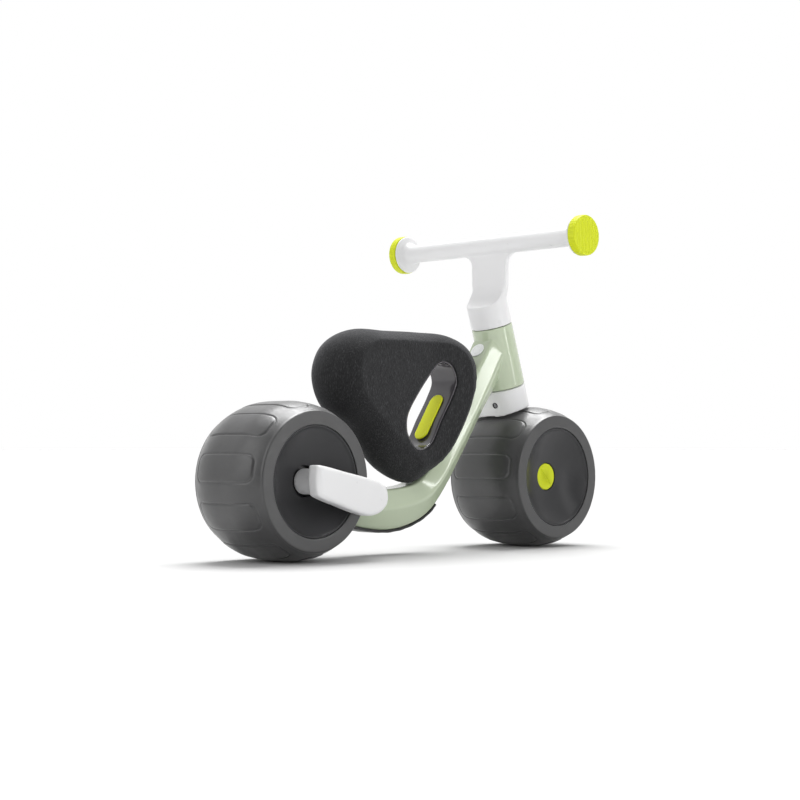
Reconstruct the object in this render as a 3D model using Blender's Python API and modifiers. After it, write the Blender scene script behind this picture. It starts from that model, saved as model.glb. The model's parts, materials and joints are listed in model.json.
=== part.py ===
"""Toddler balance bike: foam-tyred wheels on single-sided arms, moulded frame, foam saddle.

Metres, +X forward, +Y to the rider's left, +Z up. The origin is on the ground, midway between
the two axles. The front wheel hangs on the left of its fork, the rear wheel on the right arm.
"""
import math

import bmesh
import bpy
from mathutils import Matrix, Vector

# ---- driving dimensions ------------------------------------------------------------------
GAP = 0.0003                # air between two pieces that touch

WHEEL_RADIUS = 0.0825
TYRE_HALF_WIDTH = 0.0529
TYRE_EDGE_RADIUS = 0.0713   # where the rounded tread meets the flat side
TREAD_FLAT = 0.0092         # half-width of the level middle of the tread
TYRE_BORE = 0.0577
AXLE_X = 0.1928             # half of the wheelbase
RIM_RADIUS = TYRE_BORE - GAP
DISH_HOLE = 0.0162
DISH_TOP = 0.0517           # height of the dish's rim above the wheel's centre plane
DISH_FLOOR = 0.0341
SHELL = 0.0018
HUB_TUBE_END = 0.030
BEARING_INNER, BEARING_OUTER = 0.0200, 0.0270
BEARING_RADIUS = 0.0110
AXLE_RADIUS = 0.0040
CAP_RADIUS = 0.0155
STUB_RADIUS = 0.0132
STUB_END = 0.0322
ARM_Y = 0.0660              # centre of both side arms
ARM_HALF_THICKNESS = 0.0090
ARM_HUB_RADIUS = 0.0165

STEER_TILT = math.radians(18.0)
HEAD_RADIUS = 0.0240
HEAD_LOW, HEAD_HIGH = 0.1120, 0.1860      # along the steering axis, from the front hub
CROWN_TYRE_RADIUS = WHEEL_RADIUS + 0.0025
STEERER_RADIUS = 0.0110
BUSH_RADIUS = 0.0160

BAR_X, BAR_Z = 0.1316, 0.3535
BAR_RADIUS = 0.0108
BAR_HALF_LENGTH = 0.1442
GRIP_RADIUS = 0.0228
GRIP_THICKNESS = 0.0100
FLANGE_THICKNESS = 0.0026
POST_REAR_X = 0.1285
POST_HALF_WIDTH = 0.0262
POST_DEPTH = 0.0170
POST_FILLET = 0.0140
SCOOP_RADIUS = 0.0320
SCOOP_Z = 0.3100

LINER_THICKNESS = 0.0020
LINER_RECESS = 0.0020       # how far the liner's edges lie inside the seat's side faces
SEAT_FRONT_HALF = 0.0205    # half-width of the bar in front of the grab slot
SEAT_TAPER_X = 0.0150       # behind this the seat widens
SEAT_TAPER = 0.132
PAD_HALF_LENGTH, PAD_HALF_WIDTH = 0.0300, 0.0093
SET_SCREW_HEAD = 0.0022      # the set screws' heads and the rings round them
SET_SCREW_SHANK = 0.0015
SET_SCREW_RING = 0.0034
SKID_WIDTH_SHARE = 0.98     # of the frame's underside
SKID_THICKNESS = 0.0028
NECK_EXPONENT, FORK_EXPONENT = 2.7, 4.0    # how boxy the arm's neck and the fork's leg are

FRONT_HUB = Vector((AXLE_X, 0.0, WHEEL_RADIUS))
REAR_HUB = Vector((-AXLE_X, 0.0, WHEEL_RADIUS))
STEER_AXIS = Vector((-math.sin(STEER_TILT), 0.0, math.cos(STEER_TILT)))
STEER_FORWARD = Vector((math.cos(STEER_TILT), 0.0, math.sin(STEER_TILT)))
LEFT = Vector((0.0, 1.0, 0.0))

for old in list(bpy.data.objects):
    bpy.data.objects.remove(old, do_unlink=True)

PARTS = bpy.data.collections.new("balance_bike")
CUTTERS = bpy.data.collections.new("balance_bike_cutters")
bpy.context.scene.collection.children.link(PARTS)
bpy.context.scene.collection.children.link(CUTTERS)


# ---- materials ---------------------------------------------------------------------------
def material(name, colour, roughness, metallic=0.0):
    mat = bpy.data.materials.new(name)
    mat.use_nodes = True
    shader = mat.node_tree.nodes["Principled BSDF"]
    shader.inputs["Base Color"].default_value = (*colour, 1.0)
    shader.inputs["Roughness"].default_value = roughness
    shader.inputs["Metallic"].default_value = metallic
    mat.diffuse_color = (*colour, 1.0)
    return mat


SAGE = material("sage_plastic", (0.50, 0.58, 0.42), 0.25)
WHITE = material("white_plastic", (0.82, 0.82, 0.82), 0.38)
LIME = material("lime_rubber", (0.60, 0.70, 0.02), 0.5)
FOAM = material("charcoal_foam", (0.035, 0.036, 0.038), 0.9)
TYRE = material("grey_tyre", (0.16, 0.16, 0.165), 0.6)
DISH = material("dark_dish", (0.075, 0.075, 0.08), 0.45)
LINER = material("grey_liner", (0.18, 0.17, 0.19), 0.2)
DARK = material("dark_trim", (0.02, 0.02, 0.022), 0.4)
STEEL = material("steel", (0.55, 0.56, 0.58), 0.3, 1.0)


# ---- shape helpers -----------------------------------------------------------------------
def add_object(name, mesh, mat, collection=PARTS):
    obj = bpy.data.objects.new(name, mesh)
    collection.objects.link(obj)
    if mat is not None:
        mesh.materials.append(mat)
    return obj


def mesh_from(bm, name):
    bmesh.ops.recalc_face_normals(bm, faces=bm.faces)
    mesh = bpy.data.meshes.new(name)
    bm.to_mesh(mesh)
    bm.free()
    mesh.shade_smooth()
    mesh.set_sharp_from_angle(angle=math.radians(35))
    return mesh


def turned(name, profile, mat, centre, direction, segments=48, closed=True, collection=PARTS,
           flats_down=False):
    """Turn (radius, height) points about an axis; a closed profile makes a ring.

    With flats_down the facets, and not their corners, touch the stated radii and face down.
    """
    mesh = bpy.data.meshes.new(name)
    edges = [(i, i + 1) for i in range(len(profile) - 1)]
    if closed:
        edges.append((len(profile) - 1, 0))
    half_facet = math.pi / segments if flats_down else 0.0
    across = math.tan(half_facet)
    mesh.from_pydata([(radius, radius * across, height) for radius, height in profile], edges, [])
    obj = add_object(name, mesh, mat, collection)
    screw = obj.modifiers.new("turn", "SCREW")
    screw.steps = screw.render_steps = segments
    screw.use_merge_vertices = True
    screw.merge_threshold = 0.00001
    screw.use_smooth_shade = True
    obj.location = centre
    obj.rotation_euler = Vector((0, 0, 1)).rotation_difference(direction).to_euler()
    return obj


def pin_profile(radius, low, high, chamfer=0.0005):
    """A solid pin's profile, from the axis at the top down its outer side to the axis."""
    return [(0.0, high), (radius - chamfer, high), (radius, high - chamfer),
            (radius, low + chamfer), (radius - chamfer, low), (0.0, low)]


def ring_profile(inner, outer, low, high):
    """A plain ring's closed profile, running down its outer side."""
    return [(outer, high), (outer, low), (inner, low), (inner, high)]


def loft(name, rings, mat, collection=PARTS):
    """Skin a list of rings with the same number of points and close both ends."""
    bm = bmesh.new()
    loops = [[bm.verts.new(point) for point in ring] for ring in rings]
    count = len(rings[0])
    for low, high in zip(loops, loops[1:]):
        for i in range(count):
            j = (i + 1) % count
            bm.faces.new((low[i], low[j], high[j], high[i]))
    bm.faces.new(loops[0])
    bm.faces.new(loops[-1])
    return add_object(name, mesh_from(bm, name), mat, collection)


def oval(centre, first, second, a, b, exponent=2.6, count=24):
    """A superellipse ring round a centre, with half-sizes a and b along two directions."""
    ring = []
    for i in range(count):
        angle = 2 * math.pi * i / count
        c, s = math.cos(angle), math.sin(angle)
        x = math.copysign(abs(c) ** (2 / exponent), c) * a
        y = math.copysign(abs(s) ** (2 / exponent), s) * b
        ring.append(centre + first * x + second * y)
    return ring


def spline(points, per_span, closed=False):
    """Points on a Catmull-Rom curve through tuples of any length."""
    count = len(points)
    spans = count if closed else count - 1
    out = []
    for i in range(spans):
        if closed:
            p = [points[(i + k) % count] for k in (-1, 0, 1, 2)]
        else:
            p = [points[min(max(i + k, 0), count - 1)] for k in (-1, 0, 1, 2)]
        for step in range(per_span):
            t = step / per_span
            out.append(tuple(
                0.5 * (2 * b + (c - a) * t + (2 * a - 5 * b + 4 * c - d) * t * t
                       + (3 * b - a - 3 * c + d) * t ** 3)
                for a, b, c, d in zip(*p)))
    if not closed:
        out.append(tuple(points[-1]))
    return out


def inward_normals(outline):
    """Unit normals of a closed (x, z) outline, pointing into it."""
    area = sum(a[0] * b[1] - b[0] * a[1] for a, b in zip(outline, outline[1:] + outline[:1]))
    turn = 1.0 if area > 0 else -1.0
    count = len(outline)
    normals = []
    for i in range(count):
        before, after = outline[i - 1], outline[(i + 1) % count]
        along = Vector((after[0] - before[0], after[1] - before[1])).normalized()
        normals.append(Vector((-along.y, along.x)) * turn)
    return normals


def offset_outline(outline, distance):
    return [(p[0] + n.x * distance, p[1] + n.y * distance)
            for p, n in zip(outline, inward_normals(outline))]


def prism(name, outline, low_y, high_y, mat, collection=PARTS):
    """Extrude an (x, z) outline along Y."""
    rings = [[Vector((x, y, z)) for x, z in outline] for y in (low_y, high_y)]
    return loft(name, rings, mat, collection)


def boolean(obj, other, operation="DIFFERENCE", solver="EXACT"):
    modifier = obj.modifiers.new(operation.lower(), "BOOLEAN")
    modifier.operation = operation
    modifier.solver = solver
    modifier.object = other
    other.hide_render = True
    other.display_type = "WIRE"


def bore(obj, name, start, end, radius, segments=24):
    """Cut a round hole between two points."""
    start, end = Vector(start), Vector(end)
    length = (end - start).length
    profile = [(0.0, length), (radius, length), (radius, 0.0), (0.0, 0.0)]
    cutter = turned(name, profile, None, start, end - start, segments, closed=False,
                    collection=CUTTERS)
    # The lofted mouldings have slender faces on which the exact solver leaves small gaps.
    boolean(obj, cutter, solver="MANIFOLD" if obj.name in ("frame", "fork") else "EXACT")


def steer_point(along, forward=0.0, side=0.0):
    """A point given along the steering axis from the front hub, forward of it and to its left."""
    return FRONT_HUB + STEER_AXIS * along + STEER_FORWARD * forward + LEFT * side


def socket_screw(name, point, out, length, head_radius, head_height, shank_radius):
    """A cap screw: the point under its head, the way out of the head and the shank's length."""
    profile = [(0.0, head_height * 0.45), (head_radius * 0.5, head_height * 0.45),
               (head_radius * 0.5, head_height), (head_radius * 0.9, head_height),
               (head_radius, head_height * 0.85), (head_radius, 0.0), (shank_radius, 0.0),
               (shank_radius, -length), (0.0, -length)]
    return turned(name, profile, STEEL, point, out, 12, closed=False)


# ---- wheels ------------------------------------------------------------------------------
def tread_radius(offset):
    """The tyre's radius at a distance from its centre plane."""
    crown = WHEEL_RADIUS - TYRE_EDGE_RADIUS
    bend = max(0.0, abs(offset) - TREAD_FLAT) / (TYRE_HALF_WIDTH - TREAD_FLAT)
    return TYRE_EDGE_RADIUS + crown * (1 - bend ** 2.4)


def dish_height(radius):
    """Height of the dish's bowl above the wheel's centre plane."""
    return DISH_FLOOR + (DISH_TOP - 0.0004 - DISH_FLOOR) * (radius / 0.0566) ** 2.3


def wheel_pieces(prefix, hub, cap_side):
    """Everything that turns with one wheel; cap_side is +1 when the cap faces +Y."""
    outward = LEFT * cap_side
    inward = -outward

    # Side offsets bunched towards the shoulder, where the tread curves most. The middle pair
    # bounds the level part.
    offsets = [TYRE_HALF_WIDTH * math.sin(math.pi / 2 * i / 9) for i in range(-9, 10, 2)]
    tread = [(tread_radius(offset), offset) for offset in offsets]
    side = TYRE_HALF_WIDTH
    tyre = tread[::-1] + [(TYRE_BORE, -side), (TYRE_BORE, side)]
    turned(prefix + "_tyre", tyre, TYRE, hub, outward, 48, flats_down=True)

    drum = 0.038
    rim = [(RIM_RADIUS, drum), (RIM_RADIUS, -drum), (RIM_RADIUS - 0.003, -drum),
           (RIM_RADIUS - 0.003, -0.002), (0.0170, -0.002), (0.0170, -HUB_TUBE_END),
           (BEARING_RADIUS + GAP, -HUB_TUBE_END), (BEARING_RADIUS + GAP, HUB_TUBE_END),
           (0.0170, HUB_TUBE_END), (0.0170, 0.002), (RIM_RADIUS - 0.003, 0.002),
           (RIM_RADIUS - 0.003, drum)]
    turned(prefix + "_rim", rim, DARK, hub, outward, 28)

    bowl = [(DISH_HOLE + (0.0550 - DISH_HOLE) * i / 3) for i in range(4)]
    dish = [(RIM_RADIUS, DISH_TOP - 0.0008), (RIM_RADIUS, drum + GAP),
            (RIM_RADIUS - SHELL, drum + GAP)]
    dish += [(r, dish_height(r) - SHELL) for r in (bowl[3], bowl[1])]
    dish += [(DISH_HOLE + SHELL, HUB_TUBE_END + 0.0006), (DISH_HOLE, HUB_TUBE_END + 0.0006)]
    dish += [(r, dish_height(r)) for r in bowl]
    dish += [(RIM_RADIUS - 0.0010, DISH_TOP)]
    turned(prefix + "_dish_outer", dish, DISH, hub, outward, 28)
    turned(prefix + "_dish_inner", dish, DISH, hub, inward, 28)

    for label, direction in (("outer", outward), ("inner", inward)):
        bearing = ring_profile(AXLE_RADIUS + GAP, BEARING_RADIUS, BEARING_INNER, BEARING_OUTER)
        turned(prefix + "_bearing_" + label, bearing, STEEL, hub, direction, 20)
    sleeve = ring_profile(AXLE_RADIUS + GAP, 0.0062, -BEARING_INNER + GAP, BEARING_INNER - GAP)
    turned(prefix + "_hub_spacer", sleeve, STEEL, hub, outward, 16)

    top = DISH_FLOOR + 0.0002
    cap = [(0.0, top), (CAP_RADIUS - 0.0008, top - 0.0001), (CAP_RADIUS, top - 0.0009),
           (CAP_RADIUS, top - 0.0030), (0.0108, top - 0.0030), (0.0108, 0.0284),
           (0.0096, 0.0284), (0.0096, top - 0.0022), (0.0, top - 0.0022)]
    cap_piece = turned(prefix + "_axle_cap", cap, LIME, hub, outward, 24, closed=False)
    slot = loft(prefix + "_cap_slot", [
        [Vector((x, y, z)) for x, y in ((-0.0115, -0.0005), (0.0115, -0.0005),
                                        (0.0115, 0.0005), (-0.0115, 0.0005))]
        for z in (top - 0.0007, top + 0.002)], None, CUTTERS)
    turn = Vector((0, 0, 1)).rotation_difference(outward).to_matrix().to_4x4()
    slot.matrix_world = Matrix.Translation(hub) @ turn @ Matrix.Rotation(math.radians(-45), 4, "Z")
    boolean(cap_piece, slot)


def axle_pieces(prefix, hub, cap_side):
    """The fixed axle with its shoulder, and the lock nut under the cap."""
    outward = LEFT * cap_side
    shaft = [(0.0, 0.0306), (AXLE_RADIUS - 0.0005, 0.0306), (AXLE_RADIUS, 0.0301),
             (AXLE_RADIUS, -BEARING_OUTER - GAP), (0.0062, -BEARING_OUTER - GAP),
             (0.0062, -STUB_END + GAP), (AXLE_RADIUS, -STUB_END + GAP),
             (AXLE_RADIUS, -ARM_Y - 0.002), (0.0, -ARM_Y - 0.002)]
    turned(prefix + "_axle", shaft, STEEL, hub, outward, 16, closed=False)
    hexagon = math.cos(math.pi / 6)
    nut = ring_profile((AXLE_RADIUS + GAP) / hexagon, 0.0078, BEARING_OUTER + GAP, 0.0302)
    turned(prefix + "_axle_nut", nut, STEEL, hub, outward, 6)


wheel_pieces("front", FRONT_HUB, -1)
wheel_pieces("rear", REAR_HUB, 1)
axle_pieces("front", FRONT_HUB, -1)
axle_pieces("rear", REAR_HUB, 1)


# ---- side arms ---------------------------------------------------------------------------
def blade(name, path, across, mat, exponent, count=14, collection=PARTS):
    """Loft ovals along (point, half-height, half-thickness) stations; across is the tall way."""
    rings = []
    for i, (point, half_height, half_thickness) in enumerate(path):
        before = path[max(i - 1, 0)][0]
        after = path[min(i + 1, len(path) - 1)][0]
        travel = (after - before).normalized()
        thick = travel.cross(across).normalized()
        rings.append(oval(point, thick, across, half_thickness, half_height, exponent, count))
    return loft(name, rings, mat, collection)


def round_start(point, direction, radius, thickness, steps=6):
    """Stations of a half-round end whose centre is the first point of the blade."""
    stations = []
    for i in range(steps):
        angle = math.radians(8 + 76 * i / (steps - 1))
        width = radius * math.sin(angle)
        stations.append((point - direction * radius * math.cos(angle), width,
                         thickness * math.sin(angle) ** 0.5))
    return stations


# The arm's plate in side view: square at the hub, round at the frame's end.
ARM_OUTLINE = [
    (-0.2060, 0.0995), (-0.1700, 0.0922), (-0.1350, 0.0850), (-0.1205, 0.0797), (-0.1118, 0.0705),
    (-0.1118, 0.0600), (-0.1200, 0.0510), (-0.1340, 0.0469), (-0.1500, 0.0494), (-0.1750, 0.0570),
    (-0.2050, 0.0670), (-0.2095, 0.0720), (-0.2110, 0.0835), (-0.2100, 0.0945),
]
# The neck from the plate in to the frame's tail: point, half-height and half-thickness.
ARM_NECK = [
    (-0.1340, -0.0660, 0.0673, 0.0120, 0.0060), (-0.1190, -0.0630, 0.0665, 0.0120, 0.0075),
    (-0.1060, -0.0545, 0.0655, 0.0125, 0.0092), (-0.0985, -0.0440, 0.0645, 0.0140, 0.0095),
    (-0.0950, -0.0340, 0.0635, 0.0150, 0.0100), (-0.0945, -0.0255, 0.0630, 0.0150, 0.0100),
]
ARM_EDGE = 0.0025           # rounding of the plate's edges


def arm_plate():
    """The side outline stacked across Y, drawn in at both faces to round the edges."""
    outline = spline(ARM_OUTLINE, 2, closed=True)
    inner, outer = -(ARM_Y - ARM_HALF_THICKNESS), -(ARM_Y + ARM_HALF_THICKNESS)
    rings = []
    for y, inset in ((inner, ARM_EDGE), (inner - ARM_EDGE, 0.0), (outer + ARM_EDGE, 0.0),
                     (outer, ARM_EDGE)):
        rings.append([Vector((x, y, z)) for x, z in offset_outline(outline, inset)])
    return loft("rear_arm", rings, WHITE)


UP = Vector((0, 0, 1))
rear_arm = arm_plate()
neck_stations = [(Vector((x, y, z)), height, thickness)
                 for x, y, z, height, thickness in spline(ARM_NECK, 2)]
neck = blade("rear_arm_neck", neck_stations, UP, WHITE, NECK_EXPONENT, collection=CUTTERS)
boolean(rear_arm, neck, "UNION")
rear_stub = turned("rear_stub", pin_profile(STUB_RADIUS, STUB_END, ARM_Y), WHITE, REAR_HUB,
                   -LEFT, 32, closed=False, collection=CUTTERS)
boolean(rear_arm, rear_stub, "UNION")
bore(rear_arm, "rear_axle_hole", REAR_HUB - LEFT * (STUB_END - 0.002),
     REAR_HUB - LEFT * (ARM_Y + 0.0025), AXLE_RADIUS + GAP, 24)

# ---- frame -------------------------------------------------------------------------------
# Stations from the tail to the head: top/rear edge, bottom/front edge, then half-widths of the
# top face, of the crease and of the bottom face, and how deep the crease lies.
FRAME_STATIONS = [
    ((-0.1060, 0.0780), (-0.1110, 0.0365), 0.0150, 0.0225, 0.0120, 0.45),
    ((-0.0850, 0.0735), (-0.0860, 0.0305), 0.0150, 0.0240, 0.0140, 0.46),
    ((-0.0580, 0.0715), (-0.0520, 0.0275), 0.0145, 0.0240, 0.0150, 0.45),
    ((-0.0280, 0.0735), (-0.0180, 0.0325), 0.0140, 0.0235, 0.0150, 0.44),
    ((-0.0030, 0.0785), (0.0140, 0.0460), 0.0130, 0.0220, 0.0140, 0.46),
    ((0.0160, 0.0930), (0.0400, 0.0710), 0.0130, 0.0205, 0.0130, 0.55),
    ((0.0330, 0.1180), (0.0640, 0.1010), 0.0130, 0.0195, 0.0120, 0.62),
    ((0.0510, 0.1450), (0.0850, 0.1300), 0.0130, 0.0195, 0.0120, 0.66),
    ((0.0720, 0.1750), (0.1060, 0.1600), 0.0132, 0.0200, 0.0120, 0.64),
    ((0.0950, 0.2080), (0.1290, 0.1900), 0.0136, 0.0205, 0.0120, 0.60),
    ((0.1130, 0.2332), (0.1480, 0.2230), 0.0140, 0.0205, 0.0120, 0.60),
    ((0.1185, 0.2408), (0.1520, 0.2395), 0.0140, 0.0205, 0.0120, 0.60),
    ((0.1230, 0.2450), (0.1520, 0.2440), 0.0105, 0.0165, 0.0100, 0.60),
]


def frame_ring(station, grow=0.0):
    """A softly cornered six-sided section between the two edges, all round larger by grow."""
    top_x, top_z, bottom_x, bottom_z, top_half, crease_half, bottom_half, crease_depth = station
    top = Vector((top_x, 0.0, top_z))
    down = Vector((bottom_x, 0.0, bottom_z)) - top
    top -= down.normalized() * grow
    down += down.normalized() * 2 * grow
    top_half, crease_half, bottom_half = (
        half + grow for half in (top_half, crease_half, bottom_half))
    corners = [(0.0, top_half, 0.15), (crease_depth, crease_half, 0.18),
               (1.0, bottom_half, 0.18)]
    half = [(0.0, 0.0)]
    for index, (depth, width, soft) in enumerate(corners):
        before = corners[index - 1][:2] if index else (0.0, 0.0)
        after = corners[index + 1][:2] if index < 2 else (1.0, 0.0)
        for other in (before, after):
            half.append((depth + (other[0] - depth) * soft, width + (other[1] - width) * soft))
    half.append((1.0, 0.0))
    full = half + [(d, -w) for d, w in reversed(half[1:-1])]
    return [top + down * d + LEFT * w for d, w in full]


frame_stations = spline([(*top, *bottom, *rest) for top, bottom, *rest in FRAME_STATIONS], 2)
frame = loft("frame", [frame_ring(station) for station in frame_stations], SAGE)
head_tube = turned("head_tube", pin_profile(HEAD_RADIUS, HEAD_LOW + GAP, HEAD_HIGH - GAP, 0.0006),
                   SAGE, FRONT_HUB, STEER_AXIS, 32, closed=False, collection=CUTTERS)
boolean(frame, head_tube, "UNION")
bore(frame, "head_bore", steer_point(HEAD_LOW - 0.02), steer_point(HEAD_HIGH + 0.02),
     BUSH_RADIUS + GAP, 32)

# Two screws go through the tail from its left side into the end of the rear arm.
ARM_SCREW_Z = (0.0690, 0.0530)
ARM_SCREW_X = -0.0945
for number, screw_z in enumerate(ARM_SCREW_Z):
    seat_y = 0.0120
    bore(frame, f"arm_screw_hole_{number}", (ARM_SCREW_X, 0.02, screw_z),
         (ARM_SCREW_X, -0.03, screw_z), 0.0025 + GAP, 16)
    bore(frame, f"arm_screw_recess_{number}", (ARM_SCREW_X, 0.03, screw_z),
         (ARM_SCREW_X, seat_y, screw_z), 0.0048 + GAP, 20)
    bore(rear_arm, f"arm_screw_socket_{number}", (ARM_SCREW_X, -0.0200, screw_z),
         (ARM_SCREW_X, -0.0365, screw_z), 0.0025 + GAP, 16)
    socket_screw(f"rear_arm_screw_{number + 1}", Vector((ARM_SCREW_X, seat_y + GAP, screw_z)), LEFT,
                 0.0475, 0.0048, 0.0045, 0.0025)

# ---- head bearings, badge and skid plate --------------------------------------------------
bush_low = ring_profile(STEERER_RADIUS + GAP, BUSH_RADIUS, HEAD_LOW, HEAD_LOW + 0.018)
turned("head_bush_lower", bush_low, DARK, FRONT_HUB, STEER_AXIS, 24)
bush_high = ring_profile(STEERER_RADIUS + GAP, BUSH_RADIUS, HEAD_HIGH - 0.018, HEAD_HIGH)
turned("head_bush_upper", bush_high, DARK, FRONT_HUB, STEER_AXIS, 24)

tube_rear_low, tube_rear_high = (Vector((x, 0, z)) for x, z in ((0.0950, 0.2080), (0.1130, 0.2332)))
tube_direction = (tube_rear_high - tube_rear_low).normalized()
tube_rearward = Vector((-tube_direction.z, 0.0, tube_direction.x))
badge_centre = tube_rear_low + tube_direction * 0.0265 + tube_rearward * GAP
badge = [(0.0, 0.0012), (0.0070, 0.0011), (0.0088, 0.0006), (0.0090, 0.0), (0.0, 0.0)]
turned("head_badge", badge, WHITE, badge_centre, tube_rearward, 24, closed=False)


def skid_ring(station, following):
    """A thin rectangle under the frame's bottom face."""
    bottom = Vector((station[2], 0.0, station[3]))
    travel = Vector((following[2], 0.0, following[3])) - bottom
    out = Vector((travel.z, 0.0, -travel.x)).normalized()
    half = station[6] * SKID_WIDTH_SHARE
    near = bottom + out * 0.0004
    far = near + out * SKID_THICKNESS
    return [near + LEFT * half, far + LEFT * (half - 0.001),
            far - LEFT * (half - 0.001), near - LEFT * half]


skid_stations = frame_stations[:11]
skid_rings = [skid_ring(station, following)
              for station, following in zip(skid_stations, skid_stations[1:])]
loft("skid_plate", skid_rings, DARK)

# ---- seat --------------------------------------------------------------------------------
# Side outline on the centre plane, and how far its rounded edge reaches in from the outline.
SEAT_OUTLINE = [
    (-0.1335, 0.1950, 0.0175), (-0.1225, 0.2280, 0.0175), (-0.0930, 0.2440, 0.0145),
    (-0.0480, 0.2448, 0.0115), (0.0050, 0.2455, 0.0120), (0.0520, 0.2438, 0.0120),
    (0.0885, 0.2290, 0.0185), (0.1045, 0.1950, 0.0240), (0.0890, 0.1550, 0.0175),
    (0.0525, 0.1035, 0.0170), (0.0150, 0.0845, 0.0165), (-0.0150, 0.0780, 0.0270),
    (-0.0565, 0.0955, 0.0320), (-0.0890, 0.1325, 0.0200), (-0.1235, 0.1590, 0.0205),
]
SLOT_OUTLINE = [
    (0.0267, 0.2135), (0.0083, 0.1995), (-0.0139, 0.1780), (-0.0322, 0.1560),
    (-0.0360, 0.1400), (-0.0311, 0.1268), (-0.0130, 0.1133), (0.0113, 0.1207),
    (0.0289, 0.1472), (0.0467, 0.1736), (0.0545, 0.1920), (0.0455, 0.2100),
]
FRONT_WALL_LOW, FRONT_WALL_HIGH = (Vector((x, 0, z)) for x, z in (SLOT_OUTLINE[7], SLOT_OUTLINE[9]))


def seat_half_width(x):
    return SEAT_FRONT_HALF + SEAT_TAPER * max(0.0, SEAT_TAPER_X - x)


def seat_rings(outline, steps=3):
    """Rings across the seat from its right face, round its edge, to its left face."""
    normals = inward_normals(outline)
    middle = (-0.02, 0.17)
    rings = []
    for share, shrink in ((-1, 0.35), (-1, 0.7)):
        rings.append((share, 1.0, shrink))
    for step in range(-steps, steps + 1):
        angle = math.pi / 2 * step / steps
        across = math.copysign(abs(math.sin(angle)) ** 0.8, angle) if step else 0.0
        rings.append((across, 1 - math.cos(angle) ** 0.8 if abs(step) < steps else 1.0, 1.0))
    for share, shrink in ((1, 0.7), (1, 0.35)):
        rings.append((share, 1.0, shrink))
    out = []
    for across, reach, shrink in rings:
        ring = []
        for (x, z, edge), normal in zip(outline, normals):
            x, z = x + normal.x * edge * reach, z + normal.y * edge * reach
            x, z = middle[0] + (x - middle[0]) * shrink, middle[1] + (z - middle[1]) * shrink
            ring.append(Vector((x, across * seat_half_width(x), z)))
        out.append(ring)
    return out


seat = loft("seat", seat_rings(spline(SEAT_OUTLINE, 2, closed=True)), FOAM)
slot_outline = spline(SLOT_OUTLINE, 2, closed=True)
boolean(seat, prism("seat_slot", slot_outline, -0.06, 0.06, None, CUTTERS))
frame_clearance = loft("frame_clearance", [frame_ring(station, 0.0005)
                                           for station in frame_stations], None, CUTTERS)
boolean(seat, frame_clearance)

liner_mesh = bmesh.new()
liner_outline = offset_outline(slot_outline, GAP)
rims = [[liner_mesh.verts.new((x, side * (seat_half_width(x) - LINER_RECESS), z))
         for x, z in liner_outline] for side in (-1, 1)]
for i in range(len(liner_outline)):
    j = (i + 1) % len(liner_outline)
    liner_mesh.faces.new((rims[0][i], rims[0][j], rims[1][j], rims[1][i]))
liner = add_object("seat_handle_liner", mesh_from(liner_mesh, "seat_handle_liner"), LINER)
thickness = liner.modifiers.new("wall", "SOLIDIFY")
thickness.thickness = LINER_THICKNESS
thickness.offset = -1.0

wall_direction = (FRONT_WALL_HIGH - FRONT_WALL_LOW).normalized()
wall_inward = Vector((-wall_direction.z, 0.0, wall_direction.x))
pad_centre = FRONT_WALL_LOW + wall_direction * 0.0345 + wall_inward * (LINER_THICKNESS + 0.0008)
pad_rings = []
for height, shrink in ((0.0, 0.0), (0.0011, 0.0), (0.0016, 0.0006)):
    pad_rings.append(oval(pad_centre + wall_inward * height, wall_direction, LEFT,
                          PAD_HALF_LENGTH - shrink, PAD_HALF_WIDTH - shrink, 3.4, 24))
loft("seat_handle_pad", pad_rings, LIME)

# Two screws hold the seat, one through the bottom of the frame and one through its front:
# the point under the head, the way out of the head and the length.
SEAT_SCREWS = (
    (Vector((0.0100, 0.0, 0.0537)), Vector((0.463, 0.0, -0.886)), 0.0420),
    (Vector((0.0695, 0.0, 0.1188)), Vector((0.835, 0.0, -0.550)), 0.0450),
)
for label, (point, direction, length) in zip(("lower", "front"), SEAT_SCREWS):
    out = direction.normalized()
    tip = point - out * length
    mouth, floor = tip + out * 0.0110, tip - out * 0.0010
    bore(frame, f"seat_screw_hole_{label}", point + out * 0.002, mouth, 0.0025 + GAP, 16)
    bore(frame, f"seat_screw_recess_{label}", point, point + out * 0.03, 0.0050 + GAP, 24)
    bore(seat, f"seat_screw_path_{label}", point, mouth - out * 0.002, 0.0032, 16)
    bore(seat, f"seat_insert_pocket_{label}", mouth + out * GAP, floor - out * GAP,
         0.0060 + GAP, 24)
    insert = ring_profile(0.0025 + GAP, 0.0060, 0.0, (mouth - floor).length)
    turned(f"seat_insert_{label}", insert, STEEL, floor, out, 16)
    socket_screw(f"seat_screw_{label}", point + out * GAP, out, length, 0.0050, 0.0045, 0.0025)

# ---- fork --------------------------------------------------------------------------------
# The blade from the hub up over the tyre: side offset, height along the steering axis,
# half-width and half-thickness.
FORK_BLADE = [
    (0.0660, 0.0000, 0.0165, 0.0090), (0.0660, 0.0270, 0.0178, 0.0090),
    (0.0660, 0.0540, 0.0190, 0.0090), (0.0645, 0.0715, 0.0197, 0.0093),
    (0.0560, 0.0855, 0.0205, 0.0115), (0.0400, 0.0885, 0.0218, 0.0190),
    (0.0200, 0.0885, 0.0234, 0.0220), (0.0000, 0.0885, 0.0234, 0.0220),
]
fork_stations = [(steer_point(along, side=side), width, thickness)
                 for side, along, width, thickness in spline(FORK_BLADE, 2)]
fork_start = round_start(fork_stations[0][0], STEER_AXIS, ARM_HUB_RADIUS, ARM_HALF_THICKNESS)
fork = blade("fork", fork_start + fork_stations, STEER_FORWARD, WHITE, FORK_EXPONENT, 20)
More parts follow.
